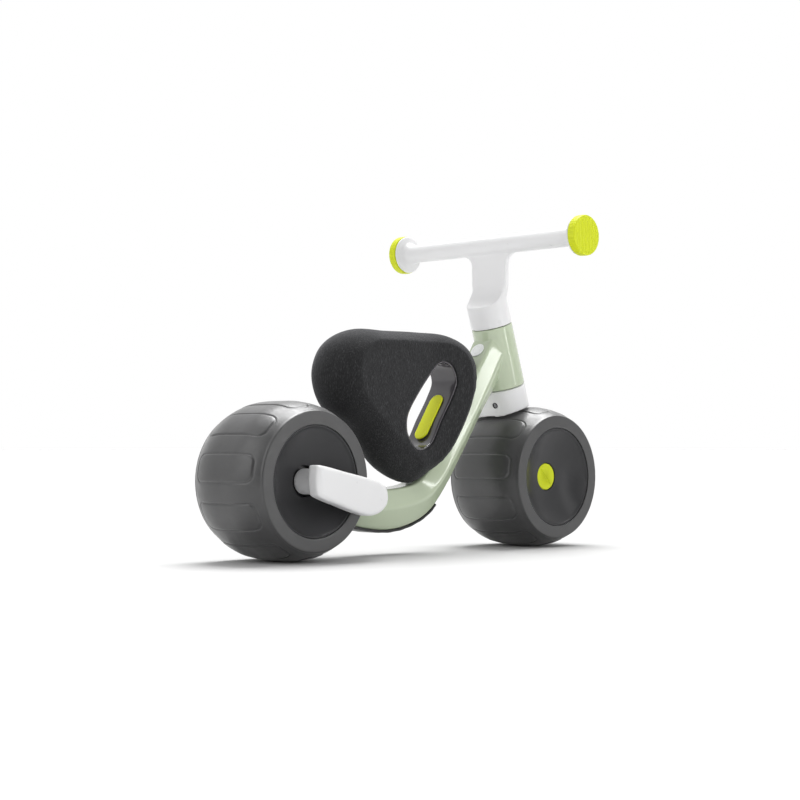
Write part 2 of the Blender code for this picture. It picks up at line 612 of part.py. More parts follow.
crown = turned("fork_crown", pin_profile(HEAD_RADIUS, 0.070, HEAD_LOW - GAP, 0.0006), WHITE,
               FRONT_HUB, STEER_AXIS, 32, closed=False, collection=CUTTERS)
boolean(fork, crown, "UNION")
stub = turned("fork_stub", pin_profile(STUB_RADIUS, STUB_END, ARM_Y), WHITE, FRONT_HUB, LEFT,
              32, closed=False, collection=CUTTERS)
boolean(fork, stub, "UNION")
CLEARANCE = CROWN_TYRE_RADIUS - WHEEL_RADIUS
envelope_offsets = [TYRE_HALF_WIDTH * i / 4 for i in range(4, -5, -1)]
envelope = [(0.0, TYRE_HALF_WIDTH + CLEARANCE),
            (TYRE_EDGE_RADIUS, TYRE_HALF_WIDTH + CLEARANCE)]
envelope += [(tread_radius(offset) + CLEARANCE, offset) for offset in envelope_offsets]
envelope += [(TYRE_EDGE_RADIUS, -TYRE_HALF_WIDTH - CLEARANCE), (0.0, -TYRE_HALF_WIDTH - CLEARANCE)]
crown_cut = turned("tyre_envelope", envelope, None, FRONT_HUB, LEFT, 40, closed=False,
                   collection=CUTTERS)
hub_void = turned("hub_void", pin_profile(0.050, -0.06, 0.06), None, FRONT_HUB, LEFT, 24,
                  closed=False, collection=CUTTERS)
boolean(crown_cut, hub_void)
boolean(fork, crown_cut)
bore(fork, "front_axle_hole", FRONT_HUB + LEFT * (STUB_END - 0.002),
     FRONT_HUB + LEFT * (ARM_Y + 0.0025), AXLE_RADIUS + GAP, 24)
STEERER_LOW, STEERER_HIGH = 0.0890, 0.2060
bore(fork, "crown_bore", steer_point(STEERER_LOW - GAP), steer_point(0.13),
     STEERER_RADIUS + GAP, 32)
steerer = ring_profile(0.0088, STEERER_RADIUS, STEERER_LOW, STEERER_HIGH)
turned("steerer_tube", steerer, STEEL, FRONT_HUB, STEER_AXIS, 24)

# ---- handlebar ---------------------------------------------------------------------------
bar_centre = Vector((BAR_X, 0.0, BAR_Z))
flange_face = BAR_HALF_LENGTH - GRIP_THICKNESS - GAP
flange_back = flange_face - FLANGE_THICKNESS
bar_end = [(0.0222, flange_face), (0.0222, flange_back + 0.0009), (0.0212, flange_back),
           (0.0150, flange_back - 0.0018), (0.0120, flange_back - 0.0052),
           (BAR_RADIUS, flange_back - 0.0130)]
bar = [(0.0, flange_face)] + bar_end + [(r, -h) for r, h in reversed(bar_end)]
bar += [(0.0, -flange_face)]
handlebar = turned("handlebar", bar, WHITE, bar_centre, LEFT, 24, closed=False)


def post_ring(z, half_width, front, count=18):
    """A D-shaped section of the post, flat at the rear and bulging forward."""
    rear = 0.0026
    ring = []
    for i in range(count):
        angle = 2 * math.pi * i / count
        c, s = math.cos(angle), math.sin(angle)
        exponent, reach = (2.0, front) if c > 0 else (5.0, rear)
        x = math.copysign(abs(c) ** (2 / exponent), c) * reach
        y = math.copysign(abs(s) ** (2 / exponent), s) * half_width
        ring.append(Vector((POST_REAR_X + rear + x, y, z)))
    return ring


fillet_start = BAR_Z - BAR_RADIUS - POST_FILLET
post_rings = [post_ring(0.2760, 0.0195, 0.0125), post_ring(0.2900, 0.0228, 0.0150),
              post_ring(0.3040, 0.0256, POST_DEPTH), post_ring(0.3180, POST_HALF_WIDTH, POST_DEPTH)]
for share in (0.0, 0.4, 0.7, 0.9, 0.99):
    rise = POST_FILLET * share
    flare = POST_FILLET - math.sqrt(POST_FILLET ** 2 - rise ** 2)
    post_rings.append(post_ring(fillet_start + rise, POST_HALF_WIDTH + flare,
                                POST_DEPTH - 0.0045 * share ** 2))
post_rings.append(post_ring(BAR_Z, 0.0400, 0.0100))
boolean(handlebar, loft("stem_post", post_rings, WHITE, CUTTERS), "UNION")
collar = turned("stem_collar", pin_profile(HEAD_RADIUS, HEAD_HIGH + GAP, 0.2450, 0.0006), WHITE,
                FRONT_HUB, STEER_AXIS, 32, closed=False, collection=CUTTERS)
boolean(handlebar, collar, "UNION")
SCOOP_X = POST_REAR_X - SCOOP_RADIUS
scoop_arc = [(SCOOP_X + SCOOP_RADIUS * math.cos(math.radians(a)),
              SCOOP_Z + SCOOP_RADIUS * math.sin(math.radians(a))) for a in range(-90, 1, 10)]
SCOOP_REAR_X = 0.0600
SCOOP_TOP_Z = 0.3300
scoop = [(SCOOP_REAR_X, scoop_arc[0][1])] + scoop_arc
scoop += [(POST_REAR_X, SCOOP_TOP_Z), (SCOOP_REAR_X, SCOOP_TOP_Z)]
boolean(handlebar, prism("stem_scoop", scoop, -0.035, 0.035, None, CUTTERS))
bore(handlebar, "bar_bore", bar_centre - LEFT * 0.15, bar_centre + LEFT * 0.15, 0.0083, 20)
bore(handlebar, "stem_bore", steer_point(HEAD_HIGH - 0.01), steer_point(STEERER_HIGH + GAP),
     STEERER_RADIUS + GAP, 32)
turned("handlebar_core", ring_profile(0.0066, 0.0080, -0.1255, 0.1255), STEEL, bar_centre, LEFT,
       20)
grip = [(0.0, GRIP_THICKNESS), (0.0200, GRIP_THICKNESS), (0.0221, GRIP_THICKNESS - 0.0008),
        (GRIP_RADIUS, GRIP_THICKNESS - 0.0026), (GRIP_RADIUS, 0.0014), (0.0221, 0.0),
        (0.0078, 0.0), (0.0078, -0.0076), (0.0, -0.0076)]
for label, side in (("left", 1), ("right", -1)):
    face = bar_centre + LEFT * side * (BAR_HALF_LENGTH - GRIP_THICKNESS)
    turned("grip_cap_" + label, grip, LIME, face, LEFT * side, 30, closed=False)

# Set screws pinch the steerer tube: one at the crown's rear, one at the front of the stem.
for label, along, side, holder in (("crown", 0.0953, -1, fork), ("stem", 0.1965, 1, handlebar)):
    out = STEER_FORWARD * side
    axis_point = steer_point(along)
    bore(holder, label + "_screw_recess", axis_point + out * 0.0220, axis_point + out * 0.030,
         SET_SCREW_RING + GAP, 24)
    bore(holder, label + "_screw_hole", axis_point + out * 0.0190, axis_point + out * 0.0225,
         SET_SCREW_HEAD + GAP, 24)
    bore(holder, label + "_screw_shank", axis_point + out * 0.0100, axis_point + out * 0.0192,
         SET_SCREW_SHANK + GAP, 16)
    socket_screw(label + "_screw", axis_point + out * 0.0193, out, 0.0076, SET_SCREW_HEAD, 0.0030,
                 SET_SCREW_SHANK)
    turned(label + "_screw_ring", ring_profile(SET_SCREW_HEAD + GAP, SET_SCREW_RING, 0.0223, 0.0241),
           DARK, axis_point, out, 16)
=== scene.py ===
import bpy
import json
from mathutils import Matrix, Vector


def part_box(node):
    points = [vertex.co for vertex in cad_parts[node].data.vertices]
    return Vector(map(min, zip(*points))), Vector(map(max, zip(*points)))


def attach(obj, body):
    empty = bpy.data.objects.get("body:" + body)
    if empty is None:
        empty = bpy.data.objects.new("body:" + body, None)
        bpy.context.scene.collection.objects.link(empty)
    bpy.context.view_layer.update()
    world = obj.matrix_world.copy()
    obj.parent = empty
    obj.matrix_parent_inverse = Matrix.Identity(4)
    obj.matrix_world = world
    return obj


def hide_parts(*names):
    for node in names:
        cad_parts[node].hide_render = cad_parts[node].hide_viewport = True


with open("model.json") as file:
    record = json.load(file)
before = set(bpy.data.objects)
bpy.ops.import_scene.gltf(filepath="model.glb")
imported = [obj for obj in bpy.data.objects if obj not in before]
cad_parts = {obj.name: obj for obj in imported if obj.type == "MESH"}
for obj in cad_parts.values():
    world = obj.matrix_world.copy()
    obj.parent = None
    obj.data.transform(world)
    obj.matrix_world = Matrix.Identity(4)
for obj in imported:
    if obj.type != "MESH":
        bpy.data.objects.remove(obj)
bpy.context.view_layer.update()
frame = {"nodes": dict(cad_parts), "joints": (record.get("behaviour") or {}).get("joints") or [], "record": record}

import json
import math

import bmesh
import bpy
import numpy as np
from mathutils import Vector

# ---- places and sizes that the frame gives ----
JOINTS = {joint["name"]: joint for joint in frame["joints"]}
BODY_OF = {node: body for body, nodes in frame["record"]["behaviour"]["bodies"].items()
           for node in nodes}
SLOT_OF = {row["node"]: row["material_slot"] for row in frame["record"]["subparts"]}
FRONT_HUB = Vector(JOINTS["front_wheel_spin"]["pos_m"])
REAR_HUB = Vector(JOINTS["rear_wheel_spin"]["pos_m"])
STEER_AXIS = Vector(JOINTS["steering"]["axis"]).normalized()
UP = Vector((0.0, 0.0, 1.0))
LEFT = Vector((0.0, 1.0, 0.0))
STEER_FORWARD = LEFT.cross(STEER_AXIS)
WHEEL_RADIUS = REAR_HUB.z
TYRE_HALF_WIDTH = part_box("rear_tyre")[1].y

# ---- the design's driving dimensions ----
GAP = 0.0003
TYRE_EDGE_RADIUS = 0.0713
TREAD_FLAT = 0.0092
TYRE_BORE = 0.0577
DISH_HOLE, DISH_TOP, DISH_FLOOR, DISH_SHELL = 0.0162, 0.0517, 0.0341, 0.0018
CAP_RADIUS, CAP_SOCKET_RADIUS = 0.0155, 0.0108
STUB_RADIUS, STUB_END = 0.0132, 0.0322
AXLE_RADIUS, AXLE_RECESS, AXLE_OVERRUN = 0.0040, 0.002, 0.0025
ARM_Y, ARM_HALF_THICKNESS, ARM_HUB_RADIUS = 0.0660, 0.0090, 0.0165
HEAD_RADIUS, HEAD_LOW, HEAD_HIGH = 0.0240, 0.1120, 0.1860
STEERER_RADIUS, STEERER_LOW, STEERER_HIGH, BUSH_RADIUS = 0.0110, 0.0890, 0.2060, 0.0160
BAR_CENTRE = (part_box("handlebar_core")[0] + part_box("handlebar_core")[1]) / 2
BAR_RADIUS, BAR_BORE_RADIUS = 0.0108, 0.0083
BAR_HALF_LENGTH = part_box("grip_cap_left")[1].y
GRIP_RADIUS, GRIP_THICKNESS = 0.0228, 0.0100
POST_REAR_X, POST_HALF_WIDTH, POST_DEPTH, POST_FILLET = 0.1285, 0.0262, 0.0170, 0.0140
SCOOP_RADIUS, SCOOP_Z = 0.0320, 0.3100
SET_SCREW_HEAD, SET_SCREW_RING, SET_SCREW_SHANK = 0.0022, 0.0034, 0.0015
SET_SCREW_LENGTH, SET_SCREW_HEAD_HEIGHT, SET_SCREW_RING_HEIGHT = 0.0076, 0.0030, 0.0018
# How far up the steering axis each set screw sits, and the side it enters from.
CROWN_SCREW, STEM_SCREW = (0.0953, -1), (0.1965, 1)
SCREW_SHANK_RADIUS, SCREW_HEAD_HEIGHT = 0.0025, 0.0045
SCREW_HOLE_RADIUS = SCREW_SHANK_RADIUS + GAP
ARM_SCREW_HEAD_RADIUS, SEAT_SCREW_HEAD_RADIUS = 0.0048, 0.0050

# ---- the studio: the camera, the room's darker side, and its lamps ----
CAMERA_AT, CAMERA_LENS = (-1.32744, -1.27878, 0.11752), 74.45
CAMERA_TURN = (91.6235, 0.0, -45.6622)     # in degrees
DARK_SIDE, SHADE_START, SHADE_END = (-0.600, -0.800, 0.0), -0.20, 0.80
ROOM_SEEN, ROOM_BRIGHT, ROOM_DARK = 1.0, 0.82, 0.22
FLOOR_ALBEDO, FLOOR_HALF = 0.56, 60.0
TOP_LAMP, TOP_LAMP_SPREAD, TOP_LAMP_FROM = 4.0, 45, (0.320, 0.200, 0.84)
SOFTBOX_TARGET = Vector((0.0, 0.0, 0.15))
# Name, direction from the target, distance, width, height and power.
SOFTBOXES = (
    ("right_strip", (0.45, -0.89, 0.30), 1.5, 0.08, 1.4, 3.6),
    ("right_fill", (-0.40, -1.00, 0.40), 1.8, 1.2, 1.2, 6.5),
    ("left_box", (-0.95, 0.25, 0.45), 1.6, 0.9, 1.2, 4.9),
)


# ---- camera, floor and light ----
def new_object(name, data):
    obj = bpy.data.objects.new(name, data)
    bpy.context.scene.collection.objects.link(obj)
    return obj


def add_camera():
    data = bpy.data.cameras.new("camera")
    data.lens = CAMERA_LENS
    data.sensor_width = 36.0
    camera = new_object("camera", data)
    camera.location = CAMERA_AT
    camera.rotation_euler = [math.radians(turn) for turn in CAMERA_TURN]
    bpy.context.scene.camera = camera


def add_studio():
    """A pale floor without end, a white room that is darker on one side, and soft lamps."""
    bpy.context.scene.view_settings.view_transform = "Standard"
    world = bpy.data.worlds.new("studio")
    world.use_nodes = True
    tree = world.node_tree
    place = tree.nodes.new("ShaderNodeTexCoord").outputs["Generated"]
    facing = tree.nodes.new("ShaderNodeVectorMath")
    facing.operation = "DOT_PRODUCT"
    facing.inputs[1].default_value = DARK_SIDE
    tree.links.new(place, facing.inputs[0])
    shade = tree.nodes.new("ShaderNodeMapRange")
    shade.interpolation_type = "SMOOTHSTEP"
    shade.inputs["From Min"].default_value = SHADE_START
    shade.inputs["From Max"].default_value = SHADE_END
    shade.inputs["To Min"].default_value = ROOM_BRIGHT
    shade.inputs["To Max"].default_value = ROOM_DARK
    tree.links.new(facing.outputs["Value"], shade.inputs["Value"])
    # The room itself shows as plain white from every side; only its light is uneven.
    seen = tree.nodes.new("ShaderNodeMix")
    tree.links.new(tree.nodes.new("ShaderNodeLightPath").outputs["Is Camera Ray"],
                   seen.inputs["Factor"])
    tree.links.new(shade.outputs["Result"], seen.inputs["A"])
    seen.inputs["B"].default_value = ROOM_SEEN
    tree.links.new(seen.outputs["Result"], tree.nodes["Background"].inputs["Strength"])
    tree.nodes["Background"].inputs["Color"].default_value = (1, 1, 1, 1)
    bpy.context.scene.world = world

    mesh = bpy.data.meshes.new("floor")
    square = ((-1, -1), (1, -1), (1, 1), (-1, 1))
    mesh.from_pydata([(x * FLOOR_HALF, y * FLOOR_HALF, 0) for x, y in square], [], [(0, 1, 2, 3)])
    floor = new_object("floor", mesh)
    mat = bpy.data.materials.new("floor")
    mat.use_nodes = True
    shader = mat.node_tree.nodes["Principled BSDF"]
    shader.inputs["Base Color"].default_value = (*[FLOOR_ALBEDO] * 3, 1)
    shader.inputs["Roughness"].default_value = 0.9
    shader.inputs["Specular IOR Level"].default_value = 0.1
    mesh.materials.append(mat)

    data = bpy.data.lights.new("top_lamp", "SUN")
    data.energy = TOP_LAMP
    data.angle = math.radians(TOP_LAMP_SPREAD)
    lamp = new_object("top_lamp", data)
    lamp.rotation_euler = Vector(TOP_LAMP_FROM).to_track_quat("Z", "Y").to_euler()

    for name, direction, distance, width, height, power in SOFTBOXES:
        data = bpy.data.lights.new(name, "AREA")
        data.shape = "RECTANGLE"
        data.size, data.size_y = width, height
        data.energy = power
        lamp = new_object(name, data)
        aim = Vector(direction).normalized()
        lamp.location = SOFTBOX_TARGET + aim * distance
        lamp.rotation_euler = aim.to_track_quat("Z", "Y").to_euler()


# ---- materials ----
class Nodes:
    """A material's Principled shader with short ways to feed it."""

    def __init__(self, name):
        self.material = bpy.data.materials.new(name)
        self.material.use_nodes = True
        self.tree = self.material.node_tree
        self.shader = self.tree.nodes["Principled BSDF"]
        self.place = self.new("ShaderNodeTexCoord").outputs["Object"]

    def new(self, kind, **values):
        node = self.tree.nodes.new(kind)
        for key, value in values.items():
            setattr(node, key, value)
        return node

    def set(self, **values):
        for name, value in values.items():
            self.shader.inputs[name.replace("_", " ")].default_value = value

    def noise(self, scale, detail=3.0, stretch=(1.0, 1.0, 1.0), roughness=0.5):
        mapping = self.new("ShaderNodeMapping")
        mapping.inputs["Scale"].default_value = stretch
        self.tree.links.new(self.place, mapping.inputs["Vector"])
        noise = self.new("ShaderNodeTexNoise")
        noise.inputs["Scale"].default_value = scale
        noise.inputs["Detail"].default_value = detail
        noise.inputs["Roughness"].default_value = roughness
        self.tree.links.new(mapping.outputs["Vector"], noise.inputs["Vector"])
        return noise.outputs["Fac"]

    def spread(self, value, low, high, start=0.3, end=0.7):
        """Map a noise value between two numbers."""
        node = self.new("ShaderNodeMapRange")
        node.inputs["From Min"].default_value = start
        node.inputs["From Max"].default_value = end
        node.inputs["To Min"].default_value = low
        node.inputs["To Max"].default_value = high
        self.tree.links.new(value, node.inputs["Value"])
        return node.outputs["Result"]

    def ramp(self, value, *stops):
        """Colours along a noise value, as (place, (r, g, b)) stops."""
        node = self.new("ShaderNodeValToRGB")
        elements = node.color_ramp.elements
        while len(elements) < len(stops):
            elements.new(0.5)
        for element, (place, colour) in zip(elements, stops):
            element.position = place
            element.color = (*colour, 1.0)
        self.tree.links.new(value, node.inputs["Fac"])
        return node.outputs["Color"]

    def feed(self, name, value):
        self.tree.links.new(value, self.shader.inputs[name])

    def bump(self, *layers):
        """Stack bumps, each a (height value, depth in metres)."""
        normal = None
        for height, depth in layers:
            node = self.new("ShaderNodeBump")
            node.inputs["Strength"].default_value = 1.0
            node.inputs["Distance"].default_value = depth
            self.tree.links.new(height, node.inputs["Height"])
            if normal is not None:
                self.tree.links.new(normal, node.inputs["Normal"])
            normal = node.outputs["Normal"]
        self.feed("Normal", normal)


def tint(colour, factor):
    return tuple(min(1.0, channel * factor) for channel in colour)


def moulded_plastic(name, colour, roughness, grain=0.00003, mottle=0.03, coat=0.0,
                    specular=0.5):
    """Injection-moulded plastic: faint cloudiness, fine grain and uneven polish."""
    mat = Nodes(name)
    cloud = mat.noise(22.0, 4.0)
    mat.feed("Base Color", mat.ramp(cloud, (0.3, tint(colour, 1 - mottle)),
                                    (0.7, tint(colour, 1 + mottle))))
    mat.feed("Roughness", mat.spread(mat.noise(60.0, 5.0), roughness * 0.85, roughness * 1.18))
    mat.bump((mat.noise(14.0, 2.0), grain * 4), (mat.noise(1500.0, 2.0), grain))
    mat.set(Specular_IOR_Level=specular)
    if coat:
        mat.set(Coat_Weight=coat, Coat_Roughness=0.08)
    return mat.material


def lime_rubber(name, colour):
    """Matt soft rubber with a fine grain."""
    mat = Nodes(name)
    mat.feed("Base Color", mat.ramp(mat.noise(700.0, 5.0), (0.3, tint(colour, 0.96)),
                                    (0.7, tint(colour, 1.04))))
    mat.feed("Roughness", mat.spread(mat.noise(200.0), 0.42, 0.6))
    mat.bump((mat.noise(900.0, 3.0), 0.00005))
    mat.set(Specular_IOR_Level=0.3)
    return mat.material


def tyre_foam(name, colour, sheen, specular):
    """Closed-cell foam tyre: matt skin with fine pores and a pale bloom."""
    mat = Nodes(name)
    bloom = mat.noise(35.0, 6.0, roughness=0.6)
    mat.feed("Base Color", mat.ramp(bloom, (0.3, tint(colour, 0.9)), (0.7, tint(colour, 1.1))))
    mat.feed("Roughness", mat.spread(mat.noise(90.0, 5.0), 0.30, 0.44))
    mat.bump((mat.noise(700.0, 4.0), 0.00005), (mat.noise(2600.0, 2.0), 0.00003))
    mat.set(Sheen_Weight=sheen, Sheen_Roughness=0.35, Sheen_Tint=(1, 1, 1, 1),
            Specular_IOR_Level=specular)
    return mat.material


def felt():
    """Charcoal felt: short fibres that stand upright, pale flecks and a soft sheen."""
    mat = Nodes("charcoal_felt")
    fibre = mat.noise(1.0, 3.0, (950.0, 950.0, 300.0), 0.6)
    mat.feed("Base Color", mat.ramp(fibre, (0.30, (0.014, 0.0142, 0.0148)),
                                    (0.55, (0.023, 0.0233, 0.0243)),
                                    (0.68, (0.044, 0.044, 0.046)),
                                    (0.82, (0.080, 0.080, 0.083))))
    mat.feed("Roughness", mat.spread(mat.noise(120.0), 0.88, 1.0))
    mat.bump((mat.noise(60.0, 3.0), 0.0006), (fibre, 0.0004))
    mat.set(Sheen_Weight=0.20, Sheen_Roughness=0.40, Sheen_Tint=(0.9, 0.9, 0.95, 1),
            Specular_IOR_Level=0.2)
    return mat.material


def steel():
    """Zinc-plated steel with faint drawing marks."""
    mat = Nodes("zinc_steel")
    mat.feed("Base Color", mat.ramp(mat.noise(150.0, 4.0), (0.3, (0.42, 0.43, 0.45)),
                                    (0.7, (0.60, 0.61, 0.62))))
    mat.feed("Roughness", mat.spread(mat.noise(400.0, 4.0, (1, 1, 6)), 0.22, 0.4))
    mat.bump((mat.noise(1200.0, 2.0), 0.00002))
    mat.set(Metallic=1.0)
    return mat.material


WHITE = moulded_plastic("white_plastic", (0.77, 0.77, 0.775), roughness=0.32, grain=0.000005,
                        mottle=0.008)
SAGE = moulded_plastic("sage_plastic", (0.490, 0.565, 0.405), roughness=0.16, grain=0.00001,
                       coat=0.7)
LIME = lime_rubber("lime_rubber", (0.62, 0.69, 0.012))
# The pad is the same lime rubber made brighter: painted light, standing in for the light that falls into the grab
# slot.
PAD_LIME_PAINTED_LIGHT = lime_rubber("lime_pad_painted_light", (0.88, 0.94, 0.030))
TREAD = tyre_foam("tyre_foam", (0.036, 0.036, 0.037), sheen=0.30, specular=0.75)
SIDEWALL = tyre_foam("tyre_sidewall", (0.080, 0.080, 0.082), sheen=0.05, specular=0.35)
DISH = moulded_plastic("dark_dish", (0.037, 0.037, 0.039), roughness=0.33, grain=0.000006,
                       mottle=0.06, specular=0.28)
FELT = felt()
LINER = moulded_plastic("grey_liner", (0.062, 0.057, 0.065), roughness=0.14, grain=0.00001,
                        coat=0.5)
TRIM = moulded_plastic("black_trim", (0.012, 0.012, 0.013), roughness=0.35, grain=0.00002,
                       mottle=0.05)
BADGE = moulded_plastic("badge", (0.90, 0.92, 0.91), roughness=0.25, grain=0.00001, mottle=0.02,
                        coat=0.5)
STEEL = steel()
SLOT_MATERIALS = {"sage_plastic": SAGE, "white_plastic": WHITE, "lime_rubber": LIME,
                  "charcoal_foam": FELT, "grey_tyre": TREAD, "dark_dish": DISH,
                  "grey_liner": LINER, "dark_trim": TRIM, "steel": STEEL}


# ---- mesh helpers ----
def skin(name, rings, caps=True, loop=False, sharp=None):
    """A mesh through rings of equally many points; loop joins the last ring to the first."""
    rings = np.asarray([[tuple(point) for point in ring] for ring in rings], float)
    rows, count = rings.shape[:2]
    index = np.arange(rows * count).reshape(rows, count)
    low = index if loop else index[:-1]
    high = np.roll(index, -1, 0) if loop else index[1:]
    faces = np.stack([low, np.roll(low, -1, 1), np.roll(high, -1, 1), high], -1)
    faces = faces.reshape(-1, 4).tolist()
    if caps and not loop:
        faces += [index[0][::-1].tolist(), index[-1].tolist()]
    bm = bmesh.new()
    mesh = bpy.data.meshes.new(name)
    mesh.from_pydata(rings.reshape(-1, 3).tolist(), [], faces)
    bm.from_mesh(mesh)
    bmesh.ops.remove_doubles(bm, verts=bm.verts, dist=1e-6)
    bmesh.ops.recalc_face_normals(bm, faces=bm.faces)
    bm.to_mesh(mesh)
    bm.free()
    mesh.shade_smooth()
    if sharp:
        mesh.set_sharp_from_angle(angle=math.radians(sharp))
    return new_object(name, mesh)


def axes_about(direction):
    first = LEFT.cross(direction)
    if first.length < 0.1:
        first = Vector((1.0, 0.0, 0.0))
    first.normalize()
    return first, direction.cross(first).normalized()


def revolve(name, profile, centre, direction, segments=128, loop=True, sharp=None):
    """Turn (radius, height) points about an axis; a loop makes a ring, else the ends close."""
    direction = direction.normalized()
    first, second = axes_about(direction)
    rings = []
    for radius, height in profile:
        ring = []
        for i in range(segments):
            angle = 2 * math.pi * i / segments
            ring.append(centre + direction * height
                        + (first * math.cos(angle) + second * math.sin(angle)) * radius)
        rings.append(ring)
    return skin(name, rings, caps=not loop, loop=loop, sharp=sharp)


def fillets(corners, steps=5, closed=True):
    """Soften a profile: corners are (radius, height, reach of the rounding)."""
    count = len(corners)
    points = []
    for i, (x, y, reach) in enumerate(corners):
        here = Vector((x, y))
        ends = not closed and i in (0, count - 1)
        if not reach or ends:
            points.append((x, y))
            continue
        before = Vector(corners[i - 1][:2]) - here
        after = Vector(corners[(i + 1) % count][:2]) - here
        start = here + before.normalized() * min(reach, before.length * 0.49)
        end = here + after.normalized() * min(reach, after.length * 0.49)
        for step in range(steps + 1):
            t = step / steps
            point = start * (1 - t) ** 2 + here * 2 * t * (1 - t) + end * t * t
            points.append((point.x, point.y))
    return points


def oval(centre, first, second, a, b, exponent=2.6, count=64):
    """A superellipse ring round a centre."""
    ring = []
    for i in range(count):
        angle = 2 * math.pi * i / count
        c, s = math.cos(angle), math.sin(angle)
        x = math.copysign(abs(c) ** (2 / exponent), c) * a
        y = math.copysign(abs(s) ** (2 / exponent), s) * b
        ring.append(centre + first * x + second * y)
    return ring


def spline(points, per_span, closed=False):
    """Points on a Catmull-Rom curve through tuples of any length."""
    count = len(points)
    out = []
    for i in range(count if closed else count - 1):
        if closed:
            p = [points[(i + k) % count] for k in (-1, 0, 1, 2)]
        else:
            p = [points[min(max(i + k, 0), count - 1)] for k in (-1, 0, 1, 2)]
        for step in range(per_span):
            t = step / per_span
            out.append(tuple(
                0.5 * (2 * b + (c - a) * t + (2 * a - 5 * b + 4 * c - d) * t * t
                       + (3 * b - a - 3 * c + d) * t ** 3)
                for a, b, c, d in zip(*p)))
    if not closed:
        out.append(tuple(points[-1]))
    return out


def inward_normals(outline):
    area = sum(a[0] * b[1] - b[0] * a[1] for a, b in zip(outline, outline[1:] + outline[:1]))
    turn = 1.0 if area > 0 else -1.0
    normals = []
    for i in range(len(outline)):
        before, after = outline[i - 1], outline[(i + 1) % len(outline)]
        along = Vector((after[0] - before[0], after[1] - before[1])).normalized()
        normals.append(Vector((-along.y, along.x)) * turn)
    return normals


def rod(name, start, end, radius, segments=48):
    """A plain cylinder between two points, used to join or to cut."""
    start, end = Vector(start), Vector(end)
    length = (end - start).length
    profile = [(0.0, 0.0), (radius, 0.0), (radius, length), (0.0, length)]
    return revolve(name, profile, start, end - start, segments, loop=False)


def prism(name, outline, low_y, high_y):
    return skin(name, [[(x, y, z) for x, z in outline] for y in (low_y, high_y)])


def moulded(name, solids, cutters=(), voxel=0.0009, relax=5):
    """Fuse closed solids into one moulding, cut it, and soften all its edges."""
    bm = bmesh.new()
    for solid in solids:
        bm.from_mesh(solid.data)
        bpy.data.objects.remove(solid)
    mesh = bpy.data.meshes.new(name)
    bm.to_mesh(mesh)
    bm.free()
    obj = new_object(name, mesh)

    def remesh():
        fuse = obj.modifiers.new("fuse", "REMESH")
        fuse.mode = "VOXEL"
        fuse.voxel_size = voxel

    remesh()
    for cutter in cutters:
        cut = obj.modifiers.new("cut", "BOOLEAN")
        cut.operation = "DIFFERENCE"
        cut.solver = "MANIFOLD"
        cut.object = cutter
    if cutters:
        remesh()
    ease = obj.modifiers.new("ease", "SMOOTH")
    ease.factor = 0.5
    ease.iterations = relax
    settle(obj)
    for cutter in cutters:
        bpy.data.objects.remove(cutter)
    obj.data.shade_smooth()
    return obj


def settle(obj):
    """Apply an object's modifiers to its mesh."""
    bpy.context.view_layer.update()
    evaluated = obj.evaluated_get(bpy.context.evaluated_depsgraph_get())
    mesh = bpy.data.meshes.new_from_object(evaluated)
    obj.modifiers.clear()
    obj.data = mesh


def cut_away(obj, cutter):
    cut = obj.modifiers.new("cut", "BOOLEAN")
    cut.operation = "DIFFERENCE"
    cut.object = cutter
    settle(obj)
    bpy.data.objects.remove(cutter)


def stands_for(obj, node, *materials):
    """Give a piece its materials, and let it stand for a CAD node on that node's body."""
    obj.data.materials.clear()
    for mat in materials:
        obj.data.materials.append(mat)
    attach(obj, BODY_OF[node])
    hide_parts(node)


def steer_point(along, side=0.0):
    return FRONT_HUB + STEER_AXIS * along + LEFT * side


# ---- wheels ----
PAD_COUNT = 10
FRONT_PAD_ANGLE, REAR_PAD_ANGLE = math.radians(171), math.radians(170)
PAD_HALF_LENGTH, PAD_HALF_WIDTH, PAD_CORNER = 0.0150, 0.0425, 0.0090
GROOVE_DEPTH, GROOVE_WIDTH, GROUND_DROP, GROUND_SLOPE = 0.0010, 0.00085, 0.0004, 0.0004
TREAD_EXPONENT, TREAD_ROWS, TREAD_EDGE = 2.4, 108, 0.0512
WALL_START, WALL_STEP, WALL_ROWS, WALL_END = 0.0600, 0.00045, 21, 0.0709
SHOULDER_RADIUS, SHOULDER_ROUNDING, SHOULDER_TOP = 0.0715, 0.0018, 0.0725


def tread_radius(offset):
    crown = WHEEL_RADIUS - TYRE_EDGE_RADIUS
    bend = max(0.0, abs(offset) - TREAD_FLAT) / (TYRE_HALF_WIDTH - TREAD_FLAT)
    return TYRE_EDGE_RADIUS + crown * (1 - bend ** TREAD_EXPONENT)


def pad_relief(arc, offset):
    """How far the tread lies below its pads' tops: in the grooves, and between the pads."""
    qx = np.abs(arc) - (PAD_HALF_LENGTH - PAD_CORNER)
    qy = np.abs(offset) - (PAD_HALF_WIDTH - PAD_CORNER)
    outside = np.hypot(np.maximum(qx, 0), np.maximum(qy, 0))
    distance = outside + np.minimum(np.maximum(qx, qy), 0) - PAD_CORNER
    groove = -GROOVE_DEPTH * np.exp(-(distance / GROOVE_WIDTH) ** 2)
    ground = GROUND_DROP / (1 + np.exp(np.clip(-distance / GROUND_SLOPE, -40, 40)))
    return groove - ground


